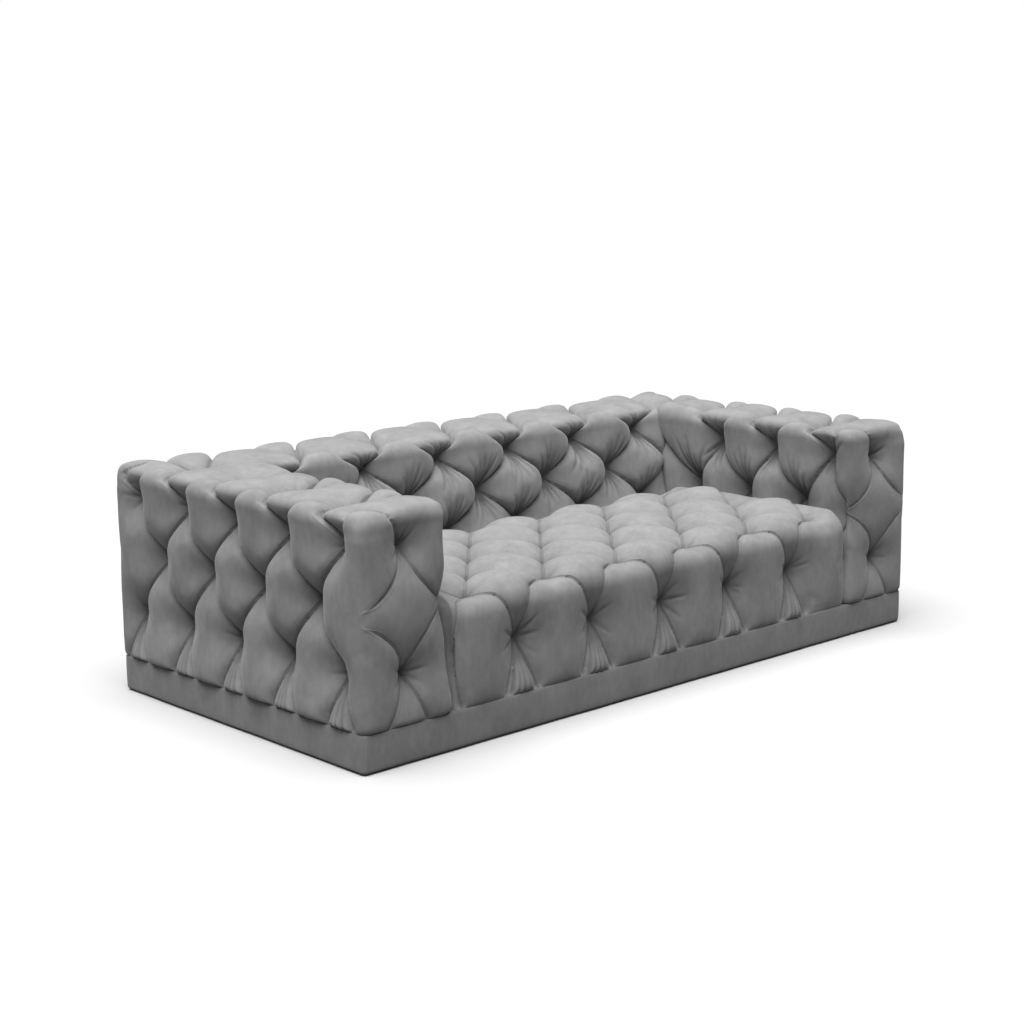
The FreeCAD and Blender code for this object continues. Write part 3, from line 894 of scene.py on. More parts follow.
    def mesh(self, name: str, chosen: Array, rims: list[Array]) -> Mesh:
        """A closed mesh of the chosen quads.

        Args:
            name: The mesh's name.
            chosen: Which of the block's quads to take.
            rims: The vertices of each rim that a hidden face closes.

        Returns:
            The mesh, with the distance to the pleats and the painted shade of the pits, pleats and folds as
            attributes.
        """
        faces = self.faces(chosen) + self.caps(chosen, rims)
        used = np.unique(np.concatenate([rows.ravel() for rows in faces]))
        number = np.zeros(len(self.points), int)
        number[used] = np.arange(len(used))
        mesh = mesh_from_arrays(name, self.points[used], [number[rows] for rows in faces])
        # The pit attribute carries the painted shade to the velvet's colour.
        for label, values in (("pleat", self.pleat), ("pit", self.pit)):
            layer = mesh.attributes.new(label, "FLOAT", "POINT")
            layer.data.foreach_set("value", values[used].astype(np.float32))
        rim = np.zeros(len(self.points), bool)
        for rows in faces[2:]:
            rim[rows] = True
        ends = np.zeros(len(mesh.edges) * 2, np.int32)
        mesh.edges.foreach_get("vertices", ends)
        sharp = rim[used][ends.reshape(-1, 2)].all(axis=1)
        mesh.attributes.new("sharp_edge", "BOOLEAN", "EDGE").data.foreach_set("value", sharp)
        return mesh


def straightness(route: Array) -> Array:
    """How nearly a route runs along a grid line at each of its points: 1 along it, 0.71 across the cells.

    Args:
        route: Points close together.

    Returns:
        The share at each point.
    """
    ways = np.abs(np.gradient(route, axis=0))
    return ways.max(axis=1) / np.maximum(np.linalg.norm(ways, axis=1), 1e-12)


def search_tree(spots: Array) -> KDTree:
    """A tree to search points by place.

    Args:
        spots: The points.

    Returns:
        The balanced tree, with the points' numbers.
    """
    tree = KDTree(len(spots))
    for number, spot in enumerate(spots):
        tree.insert(spot, number)
    tree.balance()
    return tree


def nearest_samples(spots: Array, points: Array) -> tuple[Array, Array]:
    """The nearest sample to each point.

    Args:
        spots: The samples.
        points: The points to look from.

    Returns:
        The sample's number and its distance for each point.
    """
    tree = search_tree(spots)
    table = np.array([tree.find(point)[1:] for point in points], float)
    return table[:, 0].astype(int), table[:, 1]


@dataclass(frozen=True)
class FoldStyle:
    """How fine folds run out from a tuft.

    Attributes:
        count: How many folds.
        length: Their usual length.
        upright: From 0, all round, to 1, along the second direction only.
        strength: How deep they are, beside the usual.
    """

    count: int
    length: float
    upright: float
    strength: float = 1.0


class Gathers:
    """Fine folds that run out from the tufts, drawn from a fixed seed."""

    START = 0.012

    def __init__(self, seed: int) -> None:
        """Starts the draw.

        Args:
            seed: The seed.
        """
        self.draw = np.random.default_rng(seed)
        self.folds: list[Seam] = []

    def around(self, tuft: Point, first: Point, second: Point, style: FoldStyle) -> None:
        """Adds folds around a tuft.

        Args:
            tuft: The tuft on the block.
            first: The level direction along the face.
            second: The other direction along the face.
            style: How the folds run.
        """
        for number in range(style.count):
            turn = 2 * math.pi * (number + self.draw.uniform(-0.3, 0.3)) / style.count
            if abs(math.sin(turn)) < 0.8 * style.upright:
                continue
            across = math.cos(turn) * (1.0 - style.upright)
            along = math.sin(turn)
            way = np.array(first) * across + np.array(second) * along
            way /= max(np.linalg.norm(way), 1e-6)
            reach = style.length * self.draw.uniform(0.6, 1.1)
            bent = np.array(first) * self.draw.uniform(-0.10, 0.10) * reach
            start = np.array(tuft) + way * self.START
            middle = start + way * reach * 0.5 + bent
            end = start + way * reach
            depth = style.strength * self.draw.uniform(0.0045, 0.0090)
            curve = bend(start, middle, end, count=6)
            self.folds.append(Seam(curve, (depth, 0.0), depth * 0.6, reach=reach * 0.45))

    def fan(self, tuft: Point, low: float, first: Point, spread: float, count: int) -> None:
        """Adds upright folds from a tuft down to the hem.

        Args:
            tuft: The tuft.
            low: The height of the hem.
            first: The level direction along the face.
            spread: The width of the fan at the hem.
            count: How many folds.
        """
        for number in range(count):
            share = (number + 0.5 + self.draw.uniform(-0.2, 0.2)) / count - 0.5
            foot = np.array(tuft) + np.array(first) * spread * share
            foot[2] = low
            start = np.array(tuft) + (foot - np.array(tuft)) * 0.15
            depth = self.draw.uniform(0.0050, 0.0080)
            self.folds.append(Seam([tuple(start), tuple(foot)], (depth * 0.6, depth), depth, reach=0.03))


@dataclass
class ArmsAndBack:
    """The U-shaped wall of both arms and the back, tufted on every side."""

    INNER_BACK_FOLDS = FoldStyle(20, 0.11, 0.62, 1.7)
    BACK_TOP_FOLDS = FoldStyle(9, 0.06, 0.3)
    OUTER_BACK_FOLDS = FoldStyle(6, 0.04, 0.2)
    OUTER_ARM_FOLDS = FoldStyle(6, 0.04, 0.2, 0.7)
    UPPER_INNER_FOLDS = FoldStyle(18, 0.09, 0.5, 1.8)
    MIDDLE_INNER_FOLDS = FoldStyle(16, 0.15, 0.65, 2.0)
    ARM_TOP_FOLDS = FoldStyle(8, 0.055, 0.2)
    ARM_FRONT_FOLDS = FoldStyle(9, 0.05, 0.1)

    half_width: float = 1.150
    half_depth: float = 0.565
    wall: float = 0.300
    bottom: float = 0.108
    top: float = 0.668
    rake: float = 0.1763
    rounding: Point = (0.028, 0.028, 0.036)
    cell: float = 0.0046
    arm_spacing: float = 0.237
    back_spacing: float = 0.2995
    upper_row: float = 0.586
    middle_row: float = 0.424
    lower_row: float = 0.251
    back_upper_row: float = 0.614
    back_middle_row: float = 0.499
    back_lower_row: float = 0.384
    proud: float = 0.008
    pit: float = 0.060
    pleat: float = 0.021
    front_pit: float = 0.046
    front_pleat: float = -0.005
    front_drop: float = 0.010
    corner_drop: float = 0.016
    crease: float = 0.012
    hem_pleat: float = 0.016
    edge_shares: tuple[float, float] = (0.15, 0.34)
    hem_share: float = 0.22

    @property
    def inside(self) -> float:
        """The X of the arms' inner sides."""
        return self.half_width - self.wall

    @property
    def back_front(self) -> float:
        """The Y of the inner back at its top."""
        return self.half_depth - self.wall

    def sewn(self, *route: Point) -> Seam:
        """A pleat with a tuft at both ends."""
        return Seam(list(route), (self.pit, self.pit), self.pleat)

    def fading(self, *route: Point) -> Seam:
        """A pleat that starts at a tuft and fades out."""
        return Seam(list(route), (self.pit, 0.004), self.pleat * 0.7)

    def to_hem(self, tuft: Point, foot: Point) -> Seam:
        """A pleat from a tuft of the lowest row down to the hem."""
        return Seam([tuft, foot], (self.pit, self.hem_pleat), self.hem_pleat)

    def edge_share(self, lean: int) -> float:
        """How far a pleat has moved along when it crosses the top edge, in tuft spacings."""
        return lean * self.edge_shares[1 if lean > 0 else 0]

    def outer_arm_seams(self, side: Side) -> list[Seam]:
        """The pleats of one arm's outer side, up to its top tufts and down to its hem.

        Args:
            side: Which arm.

        Returns:
            The pleats.
        """
        x = side.value * self.half_width
        step = self.arm_spacing
        seams = []
        for column in range(-2, 3):
            y = column * step
            upper = (x, y, self.upper_row)
            lower = (x, y, self.lower_row)
            for lean in (-1, 1):
                beside = y + lean * step / 2
                if abs(beside) < 2 * step:
                    middle = (x, beside, self.middle_row)
                    seams += [self.sewn(upper, middle), self.sewn(lower, middle)]
                foot = (x, y + lean * self.hem_share * step, self.bottom)
                seams.append(self.to_hem(lower, foot))
        return seams + self.over_edge_seams(side, x, range(-2, 3))

    def inner_arm_seams(self, side: Side) -> list[Seam]:
        """The pleats of one arm's inner side, up to its top tufts.

        Args:
            side: Which arm.

        Returns:
            The pleats.
        """
        x = side.value * self.inside
        step = self.arm_spacing
        seams = []
        for column in range(-2, 1):
            y = column * step
            upper = (x, y, self.upper_row)
            lower = (x, y, self.lower_row)
            for lean in (-1, 1):
                beside = max(y + lean * step / 2, -self.half_depth)
                middle = (x, beside, self.middle_row)
                if beside > -self.half_depth:
                    seams += [self.sewn(upper, middle), self.sewn(lower, middle)]
                    continue
                middle = (x, beside, self.middle_row - self.corner_drop)
                bulge = (x, y + 0.2 * (beside - y), self.middle_row + 0.04)
                seams += [self.sewn(*bend(upper, bulge, middle)), self.sewn(lower, middle)]
        last = (x, step / 2, self.middle_row)
        seams.append(Seam([(x, self.back_front, self.upper_row), last], (self.crease, self.pit), self.pleat))
        seams.append(self.fading(last, (x, self.back_front, self.lower_row)))
        return seams + self.over_edge_seams(side, x, range(-2, 1))

    def over_edge_seams(self, side: Side, x: float, columns: range) -> list[Seam]:
        """The pleats from the upper row over the top edge to the tufts on an arm's top.

        Args:
            side: Which arm.
            x: The X of the arm's side.
            columns: Numbers of the tufts in the upper row.

        Returns:
            The pleats.
        """
        step = self.arm_spacing
        seams = []
        for column in columns:
            y = column * step
            for lean in (-1, 1):
                tuft = self.top_tuft(side, column + lean / 2)
                if tuft is not None:
                    edge = (x, y + self.edge_share(lean) * step, self.top)
                    seams.append(self.sewn((x, y, self.upper_row), edge, tuft))
        return seams

    def top_tuft(self, side: Side, column: float) -> Point | None:
        """The tuft on an arm's top at half a column, or none beyond its ends.

        Args:
            side: Which arm.
            column: The place along it, in tuft spacings.

        Returns:
            The tuft, or None.
        """
        if not -1.6 < column < 1.6:
            return None
        if column > 1.4:
            return self.corner_tuft(side)
        middle = side.value * (self.half_width - self.wall / 2)
        return (middle, column * self.arm_spacing, self.top)

    def corner_tuft(self, side: Side) -> Point:
        """The tuft where an arm's top meets the back's top."""
        return (side.value * 0.965, 0.375, self.top)

    def front_seams(self, side: Side) -> list[Seam]:
        """The pleats of one arm's front, with the arched lobe on its left-hand corner.

        Args:
            side: Which arm.

        Returns:
            The pleats.
        """
        y = -self.half_depth
        middle = side.value * (self.half_width - self.wall / 2)
        left = middle - self.wall / 2
        upper = (middle, y, self.upper_row - self.front_drop)
        lower = (middle, y, self.lower_row - self.front_drop)
        pit = self.front_pit
        seams = []
        for sign in Side:
            x = side.value * self.half_width
            gap = 0.016
            end = -0.008
            if sign is not side:
                x = side.value * self.inside
                gap = 0.0
                end = pit
            for tuft, rise in ((upper, gap), (lower, -gap)):
                corner = (x, y, self.middle_row - self.corner_drop + rise)
                bulge = (tuft[0] + 0.25 * (x - tuft[0]), y, corner[2] + 0.3 * (tuft[2] - corner[2]))
                seams.append(Seam(bend(tuft, bulge, corner), (pit, end), self.front_pleat))
            foot = (middle + sign.value * self.hem_share * self.wall, y, self.bottom)
            seams.append(Seam([lower, foot], (pit, 0.006), self.front_pleat))
        side_tuft = (left, -2 * self.arm_spacing, self.upper_row)
        over_side = (left, -0.492, self.top)
        over_front = (middle - 0.040, y, self.top)
        arch = bend(over_side, (middle - 0.045, -0.470, self.top), over_front)
        seams.append(Seam([side_tuft, *arch, upper], (self.pit, pit), 0.014))
        return seams

    def inner_back_seams(self) -> list[Seam]:
        """The pleats of the inner back, up to the tufts along its top."""
        y = self.back_front
        step = self.back_spacing
        seams = []
        for column in range(6):
            x = (column - 2.5) * step
            upper = (x, y, self.back_upper_row)
            lower = (x, y, self.back_lower_row)
            for lean in (-1, 1):
                beside = x + lean * step / 2
                edge = (x - self.edge_share(-lean) * step, y, self.top)
                seams.append(self.sewn(upper, edge, self.back_top_tuft(beside)))
                if abs(beside) < self.inside - 0.01:
                    middle = (beside, y, self.back_middle_row)
                    seams += [self.sewn(upper, middle), self.sewn(lower, middle)]
                else:
                    corner = (math.copysign(self.inside, x), y, self.back_middle_row)
                    seams += [self.fading(upper, corner), self.fading(lower, corner)]
        return seams

    def back_top_tuft(self, x: float) -> Point:
        """The tuft along the back's top at about an X.

        Args:
            x: About where.

        Returns:
            The tuft, which is the corner's beyond the inner sides.
        """
        if abs(x) > self.inside - 0.01:
            return self.corner_tuft(Side.LEFT if x < 0 else Side.RIGHT)
        return (x, self.half_depth - self.wall / 2, self.top)

    def outer_back_seams(self) -> list[Seam]:
        """The pleats of the outer back, up to the tufts along its top and down to its hem."""
        y = self.half_depth
        step = self.back_spacing
        seams = []
        for column in range(8):
            x = (column - 3.5) * step
            upper = (x, y, self.upper_row)
            lower = (x, y, self.lower_row)
            for lean in (-1, 1):
                beside = x + lean * step / 2
                seams.append(self.to_hem(lower, (x + lean * self.hem_share * step, y, self.bottom)))
                if abs(beside) < 3.5 * step:
                    middle = (beside, y, self.middle_row)
                    edge = (x + lean * 0.2 * step, y, self.top)
                    seams += [self.sewn(upper, middle), self.sewn(lower, middle)]
                    seams.append(self.sewn(upper, edge, self.back_top_tuft(beside)))
        return seams

    def corner_seams(self, side: Side) -> list[Seam]:
        """The pleat beside the lobe on a rear corner and the crease in the inner corner.

        Args:
            side: Which arm.

        Returns:
            The pleats.
        """
        x = side.value * self.half_width
        inner = side.value * self.inside
        side_tuft = (x, 2 * self.arm_spacing, self.upper_row)
        over = [(x, 0.524, 0.640), (x, 0.530, self.top), (x - side.value * 0.075, 0.500, self.top)]
        corner = (inner, self.back_front, self.upper_row)
        edge = (inner, self.back_front, self.top)
        return [
            Seam([side_tuft, *over], (self.pit, -0.010), self.pleat * 0.7),
            Seam([(inner, self.back_front, self.bottom), corner], (0.0, self.crease), 0.0),
            Seam([corner, edge, self.corner_tuft(side)], (self.crease, self.pit), self.crease),
        ]

    def seams(self) -> list[Seam]:
        """Every pleat of the wall."""
        seams = self.inner_back_seams() + self.outer_back_seams()
        for side in Side:
            seams += self.outer_arm_seams(side) + self.inner_arm_seams(side)
            seams += self.front_seams(side) + self.corner_seams(side)
        return seams

    def gathers(self) -> list[Seam]:
        """The fine folds around the tufts."""
        folds = Gathers(5)
        for column in range(6):
            x = (column - 2.5) * self.back_spacing
            middle = x + self.back_spacing / 2
            spots = [(x, self.back_upper_row), (x, self.back_lower_row)]
            spots += [(middle, self.back_middle_row)] if column < 5 else []
            for place, row in spots:
                folds.around((place, self.back_front, row), ACROSS, UPWARD, self.INNER_BACK_FOLDS)
            if column < 5:
                folds.around(self.back_top_tuft(middle), ACROSS, AHEAD, self.BACK_TOP_FOLDS)
        for side in Side:
            outer = side.value * self.half_width
            inner = side.value * self.inside
            for column in range(-2, 3):
                y = column * self.arm_spacing
                for row in (self.upper_row, self.lower_row):
                    folds.around((outer, y, row), AHEAD, UPWARD, self.OUTER_ARM_FOLDS)
                folds.fan((outer, y, self.lower_row), self.bottom, AHEAD, 0.06, 3)
                if column < 1:
                    between = (inner, y + self.arm_spacing / 2, self.middle_row)
                    folds.around((inner, y, self.upper_row), AHEAD, UPWARD, self.UPPER_INNER_FOLDS)
                    folds.around(between, AHEAD, UPWARD, self.MIDDLE_INNER_FOLDS)
                if column < 2:
                    folds.around(self.top_tuft(side, column + 0.5), ACROSS, AHEAD, self.ARM_TOP_FOLDS)
            middle = side.value * (self.half_width - self.wall / 2)
            for row in (self.upper_row, self.lower_row):
                spot = (middle, -self.half_depth, row - self.front_drop)
                folds.around(spot, ACROSS, UPWARD, self.ARM_FRONT_FOLDS)
        for column in range(8):
            x = (column - 3.5) * self.back_spacing
            for row in (self.upper_row, self.lower_row):
                folds.around((x, self.half_depth, row), ACROSS, UPWARD, self.OUTER_BACK_FOLDS)
            folds.fan((x, self.half_depth, self.lower_row), self.bottom, ACROSS, 0.08, 3)
        return folds.folds

    def block(self) -> Block:
        """The sharp-edged block: left arm, right arm and back."""
        low = self.bottom
        high = self.top
        left = ((-self.half_width, -self.half_depth, low), (-self.inside, self.half_depth, high))
        right = ((self.inside, -self.half_depth, low), (self.half_width, self.half_depth, high))
        back = ((-self.half_width, self.back_front, low), (self.half_width, self.half_depth, high))
        return Block([left, right, back], self.rounding, self.cell, self.rake)

    def build(self, material: Material) -> None:
        """Makes the three covers and puts them in place of their CAD pads.

        Args:
            material: The velvet.
        """
        # shade sets how dark the painted shade in the low places between the lobes is.
        skin = TuftedSkin(
            self.block(), self.seams(), self.gathers(), self.proud, hem_depth=0.002, seed=11, top_lift=0.011,
            overhang=0.018, calm_front=0.3, corner_reach=0.055, shade=0.45)
        skin.build()
        skin.settle(ClothPass())
        middle_x = skin.block.sharp[skin.block.quads].mean(axis=1)[:, 0]
        left_cut = np.abs(skin.block.sharp[:, 0] + self.inside) < 1e-5
        right_cut = np.abs(skin.block.sharp[:, 0] - self.inside) < 1e-5
        covers = {
            "left_arm": (middle_x < -self.inside, [left_cut], ("inner", "outer", "top", "front")),
            "back": (np.abs(middle_x) < self.inside, [left_cut, right_cut], ("inner", "outer", "top")),
            "right_arm": (middle_x > self.inside, [right_cut], ("inner", "outer", "top", "front")),
        }
        for name, (chosen, cuts, pads) in covers.items():
            mesh = skin.mesh(f"{name}_cover", chosen, [skin.hem, *cuts])
            piece = add_object(f"{name}_cover", mesh, material)
            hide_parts(*[f"{name}_{pad}_pad" for pad in pads])


@dataclass
class BenchSeat:
    """The single tufted bench between the arms."""

    FRONT_FOLDS = FoldStyle(9, 0.07, 0.1)
    TOP_FOLDS = FoldStyle(6, 0.035, 0.0)

    half_width: float = 0.846
    front: float = -0.560
    rear: float = 0.205
    bottom: float = 0.108
    top: float = 0.423
    rounding: Point = (0.018, 0.075, 0.075)
    cell: float = 0.0046
    spacing: float = 0.293
    front_row: float = 0.258
    first_row: float = -0.488
    row_step: float = 0.157
    rows: int = 5
    proud: float = 0.015
    pit: float = 0.054
    pleat: float = 0.017
    front_pit: float = 0.050
    side_end: float = -0.004
    edge_shares: tuple[float, float] = (0.30, 0.17)
    hem_share: float = 0.20

    def row_columns(self, row: int) -> Array:
        """The X of the tufts in one row of the top.

        Args:
            row: The row, from the front.

        Returns:
            The places of its tufts.
        """
        if row % 2 == 0:
            return (np.arange(6) - 2.5) * self.spacing
        return (np.arange(5) - 2.0) * self.spacing

    def top_seams(self) -> list[Seam]:
        """The pleats of the seat's top."""
        seams = []
        for row in range(self.rows):
            y = self.first_row + row * self.row_step
            behind = y + self.row_step
            for x in self.row_columns(row):
                for lean in (-1, 1):
                    beside = x + lean * self.spacing / 2
                    outside = abs(beside) > self.half_width
                    beside = min(max(beside, -self.half_width), self.half_width)
                    end = (beside, min(behind, self.rear), self.top)
                    last = self.side_end if outside else self.pleat if behind > self.rear else self.pit
                    seams.append(Seam([(x, y, self.top), end], (self.pit, last), self.pleat))
        for row in range(1, self.rows, 2):
            y = self.first_row + row * self.row_step
            for side in Side:
                edge = (side.value * self.half_width, y, self.top)
                far = (side.value * 2.5 * self.spacing, min(y + self.row_step, self.rear), self.top)
                seams.append(Seam([far, edge], (self.pit, self.side_end), self.pleat))
        return seams

    def front_seams(self) -> list[Seam]:
        """The pleats of the seat's front, over its edge to the first row of the top."""
        seams = []
        for x in (np.arange(5) - 2.0) * self.spacing:
            tuft = (x, self.front, self.front_row)
            for lean in (-1, 1):
                share = self.edge_shares[0 if lean < 0 else 1]
                edge = (x + lean * share * self.spacing, self.front, self.top)
                top_tuft = (x + lean * self.spacing / 2, self.first_row, self.top)
                seams.append(Seam([tuft, edge, top_tuft], (self.front_pit, self.pit), 0.007))
                foot = (x + lean * self.hem_share * self.spacing, self.front, self.bottom)
                seams.append(Seam([tuft, foot], (self.front_pit, 0.010), 0.012, reach=0.06))
        left = (-self.half_width + 0.004, self.front, self.front_row)
        edge = (-2.72 * self.spacing, self.front, self.top)
        first = (-2.5 * self.spacing, self.first_row, self.top)
        seams.append(Seam([left, edge, first], (0.02, self.pit), 0.012))
        seams.append(Seam([left, (-2.76 * self.spacing, self.front, self.bottom)], (0.02, 0.008), 0.008))
        return seams

    def gathers(self) -> list[Seam]:
        """The fine folds around the tufts and the upright ones above the hem."""
        folds = Gathers(9)
        for x in (np.arange(5) - 2.0) * self.spacing:
            tuft = (x, self.front, self.front_row)
            folds.around(tuft, ACROSS, UPWARD, self.FRONT_FOLDS)
            folds.fan(tuft, self.bottom, ACROSS, 0.10, 5)
        for row in range(self.rows):
            y = self.first_row + row * self.row_step
            for x in self.row_columns(row):
                folds.around((x, y, self.top), ACROSS, AHEAD, self.TOP_FOLDS)
        return folds.folds

    def build(self, material: Material) -> None:
        """Makes the seat cover and puts it in place of the CAD pads.

        Args:
            material: The velvet.
        """
        low = (-self.half_width, self.front, self.bottom)
        high = (self.half_width, self.rear, self.top)
        block = Block([(low, high)], self.rounding, self.cell)
        seams = self.top_seams() + self.front_seams()
        # shade sets how dark the painted shade in the low places between the lobes is.
        skin = TuftedSkin(
            block, seams, self.gathers(), self.proud, hem_depth=0.001, seed=23, sag=0.05, lean=0.14,
            fullness=0.74, plateau=2.0, pit_pull=0.62, pit_width=0.066, shade=0.40, calm_front=0.25,
            calm_rear=0.75)
        skin.build()
        skin.settle(ClothPass())
        everything = np.ones(len(block.quads), bool)
        mesh = skin.mesh("seat_cover", everything, [skin.hem])
        piece = add_object("seat_cover", mesh, material)
        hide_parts("seat_top_pad", "seat_front_pad")


@dataclass
class Plinth:
    """The velvet bands wrapped round the plinth, seamed at its corners."""

    half_width: float = 1.150
    half_depth: float = 0.565
    bottom: float = 0.003
    top: float = 0.108
    wrap: float = 0.010
    corner: float = 0.014
    edge: float = 0.0095
    top_edge: float = 0.005
    bulge: float = 0.0008
    flange: float = 0.045
    pitch: float = 0.010

    def profile(self) -> Array:
        """The band's closed section: how far inside the outer face, and the height."""
        low = self.bottom
        high = self.top
        edge = self.edge
        rows = []
        for turn in np.linspace(0, math.pi / 2, 6):
            rows.append((edge - edge * math.sin(turn), low + edge - edge * math.cos(turn)))
        for share in np.linspace(0, 1, 8)[1:-1]:
            face = high - low - edge - self.top_edge
            rows.append((-self.bulge * math.sin(math.pi * share), low + edge + share * face))
        for turn in np.linspace(0, math.pi / 2, 5):
            inward = self.top_edge - self.top_edge * math.cos(turn)
            rows.append((inward, high - self.top_edge + self.top_edge * math.sin(turn)))
        rows += [(self.flange * 0.5, high + 0.0003), (self.flange, high + 0.0003)]
        rows += [(self.flange, high - 0.0002), (self.wrap - 0.0002, high - 0.0002)]
        rows += [(self.wrap - 0.0002, low + 0.05), (self.wrap - 0.0002, low)]
        return np.array(rows)

    def path(self, side: int) -> list[tuple[Point, Point]]:
        """One side of the band's route, from the middle of a corner to the next.

        Args:
            side: 0 front, 1 right, 2 back, 3 left.

        Returns:
            For each stop, the corner's centre or a point on the straight, and the outward way.
        """
        turn = side * math.pi / 2
        across = self.half_width if side % 2 == 0 else self.half_depth
        out = self.half_depth if side % 2 == 0 else self.half_width
        half = across - self.corner
        stops = []
        for share in np.linspace(0, 1, 5)[:-1]:
            lean = -math.pi / 4 + share * math.pi / 4
            stops.append(((-half, -(out - self.corner)), (math.sin(lean), -math.cos(lean))))
        for place in np.linspace(-half, half, round(2 * half / self.pitch) + 1):
            stops.append(((place, -(out - self.corner)), (0.0, -1.0)))
        for share in np.linspace(0, 1, 5)[1:]:
            lean = share * math.pi / 4
            stops.append(((half, -(out - self.corner)), (math.sin(lean), -math.cos(lean))))
        spin = np.array(((math.cos(turn), -math.sin(turn)), (math.sin(turn), math.cos(turn))))
        return [(tuple(spin @ np.array(place)), tuple(spin @ np.array(way))) for place, way in stops]

    def build(self, material: Material) -> None:
        """Makes the four bands and puts them in place of the CAD ones.

        Args:
            material: The velvet.
        """
        profile = self.profile()
        draw = np.random.default_rng(31)
        for side, name in enumerate(("front", "right", "back", "left")):
            stops = self.path(side)
            waves = draw.uniform(0, 2 * math.pi, 4)
            rings = []
            for number, (place, way) in enumerate(stops):
                ease = min(number, len(stops) - 1 - number, 12) / 12
                for inward, height in profile:
                    along = number * self.pitch
                    wave = math.sin(along * 9 + waves[0] + height * 20) + math.sin(along * 23 + waves[1])
                    soft = 0.0005 * wave * ease if inward < 0.004 else 0.0
                    radius = self.corner - inward + soft
                    spot = np.array(place)
                    if radius < 0.001 and abs(way[0] * way[1]) > 1e-6:
                        spot = spot + np.sign(np.round(spot, 6)) * (radius - 0.001)
                        radius = 0.001
                    rings.append((*(spot + np.array(way) * radius), height))
            count = len(profile)
            index = np.arange(len(rings)).reshape(-1, count)
            ahead = np.roll(index, -1, axis=1)
            quads = np.stack([index[:-1], index[1:], ahead[1:], ahead[:-1]], axis=-1).reshape(-1, 4)
            caps = np.stack([index[0], index[-1][::-1]])
            mesh = mesh_from_arrays(f"plinth_cover_{name}", np.array(rings), [quads, caps])
            # Painted shade: the whole band a little darker, and much darker along its top where it tucks
            # under the cover.
            shaded = 0.10 + 0.75 * np.clip((profile[:, 1] - self.top + 0.006) / 0.005, 0, 1)
            shade = np.tile(shaded, len(stops)).astype(np.float32)
            mesh.attributes.new("pit", "FLOAT", "POINT").data.foreach_set("value", shade)
            piece = add_object(f"plinth_cover_{name}", mesh, material)
            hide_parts(f"plinth_band_{name}")


def new_group(name: str, inputs: dict[str, float], outputs: dict[str, str]) -> NodeTree:
    """Starts a shader node group with named sockets.

    Args:
        name: The group's name.
        inputs: Its inputs, all numbers but Vector, with their usual values.
        outputs: Its outputs, with the type of each socket.

    Returns:
        The group, with its input and output nodes in place.
    """
    group = bpy.data.node_groups.new(name, "ShaderNodeTree")
    group.interface.new_socket("Vector", in_out="INPUT", socket_type="NodeSocketVector")
    for label, value in inputs.items():
        socket = group.interface.new_socket(label, in_out="INPUT", socket_type="NodeSocketFloat")
        socket.default_value = value
    for label, kind in outputs.items():
        group.interface.new_socket(label, in_out="OUTPUT", socket_type=kind)
    group.nodes.new("NodeGroupInput").name = "in"
    group.nodes.new("NodeGroupOutput").name = "out"
    return group


class NodeKit:
    """Short ways to add linked nodes to one tree."""

    def __init__(self, tree: NodeTree) -> None:
        """Keeps the tree that nodes are added to."""
        self.tree = tree

    def add(self, kind: str, links: dict | None = None, **settings) -> Node:
        """Adds a node, sets its properties and fills its inputs.

        Args:
            kind: The node's type.
            links: For each input, by name or number, a socket to link or a value to set.
            settings: Properties of the node.

        Returns:
            The node.
        """
        node = self.tree.nodes.new(kind)
        for label, value in settings.items():
            setattr(node, label, value)
        for label, value in (links or {}).items():
            if isinstance(value, NodeSocket):
                self.tree.links.new(value, node.inputs[label])
            else:
                node.inputs[label].default_value = value
        return node

    def math(self, operation: str, first: Feed, second: Feed = 0.0) -> NodeSocket:
        """A sum, product or other operation on two numbers."""
        return self.add("ShaderNodeMath", {0: first, 1: second}, operation=operation).outputs[0]

    def tint(self, colour: Point, tone: NodeSocket) -> NodeSocket:
        """A colour, made lighter or darker by a tone.

        Args:
            colour: The colour at a tone of 1, linear.
            tone: The tone.

        Returns:
            The socket with the result.
        """
        mix = self.add("ShaderNodeMix", data_type="RGBA", blend_type="MULTIPLY")
        mix.inputs["Factor"].default_value = 1.0
        mix.inputs["A"].default_value = (*colour, 1.0)
        self.tree.links.new(tone, mix.inputs["B"])
        return mix.outputs["Result"]

    def spread(self, value: Feed, low: float, high: float) -> NodeSocket:
        """Maps a value from 0 to 1 to another range, held at its ends."""
        return self.add("ShaderNodeMapRange", {"Value": value, "To Min": low, "To Max": high}).outputs[0]


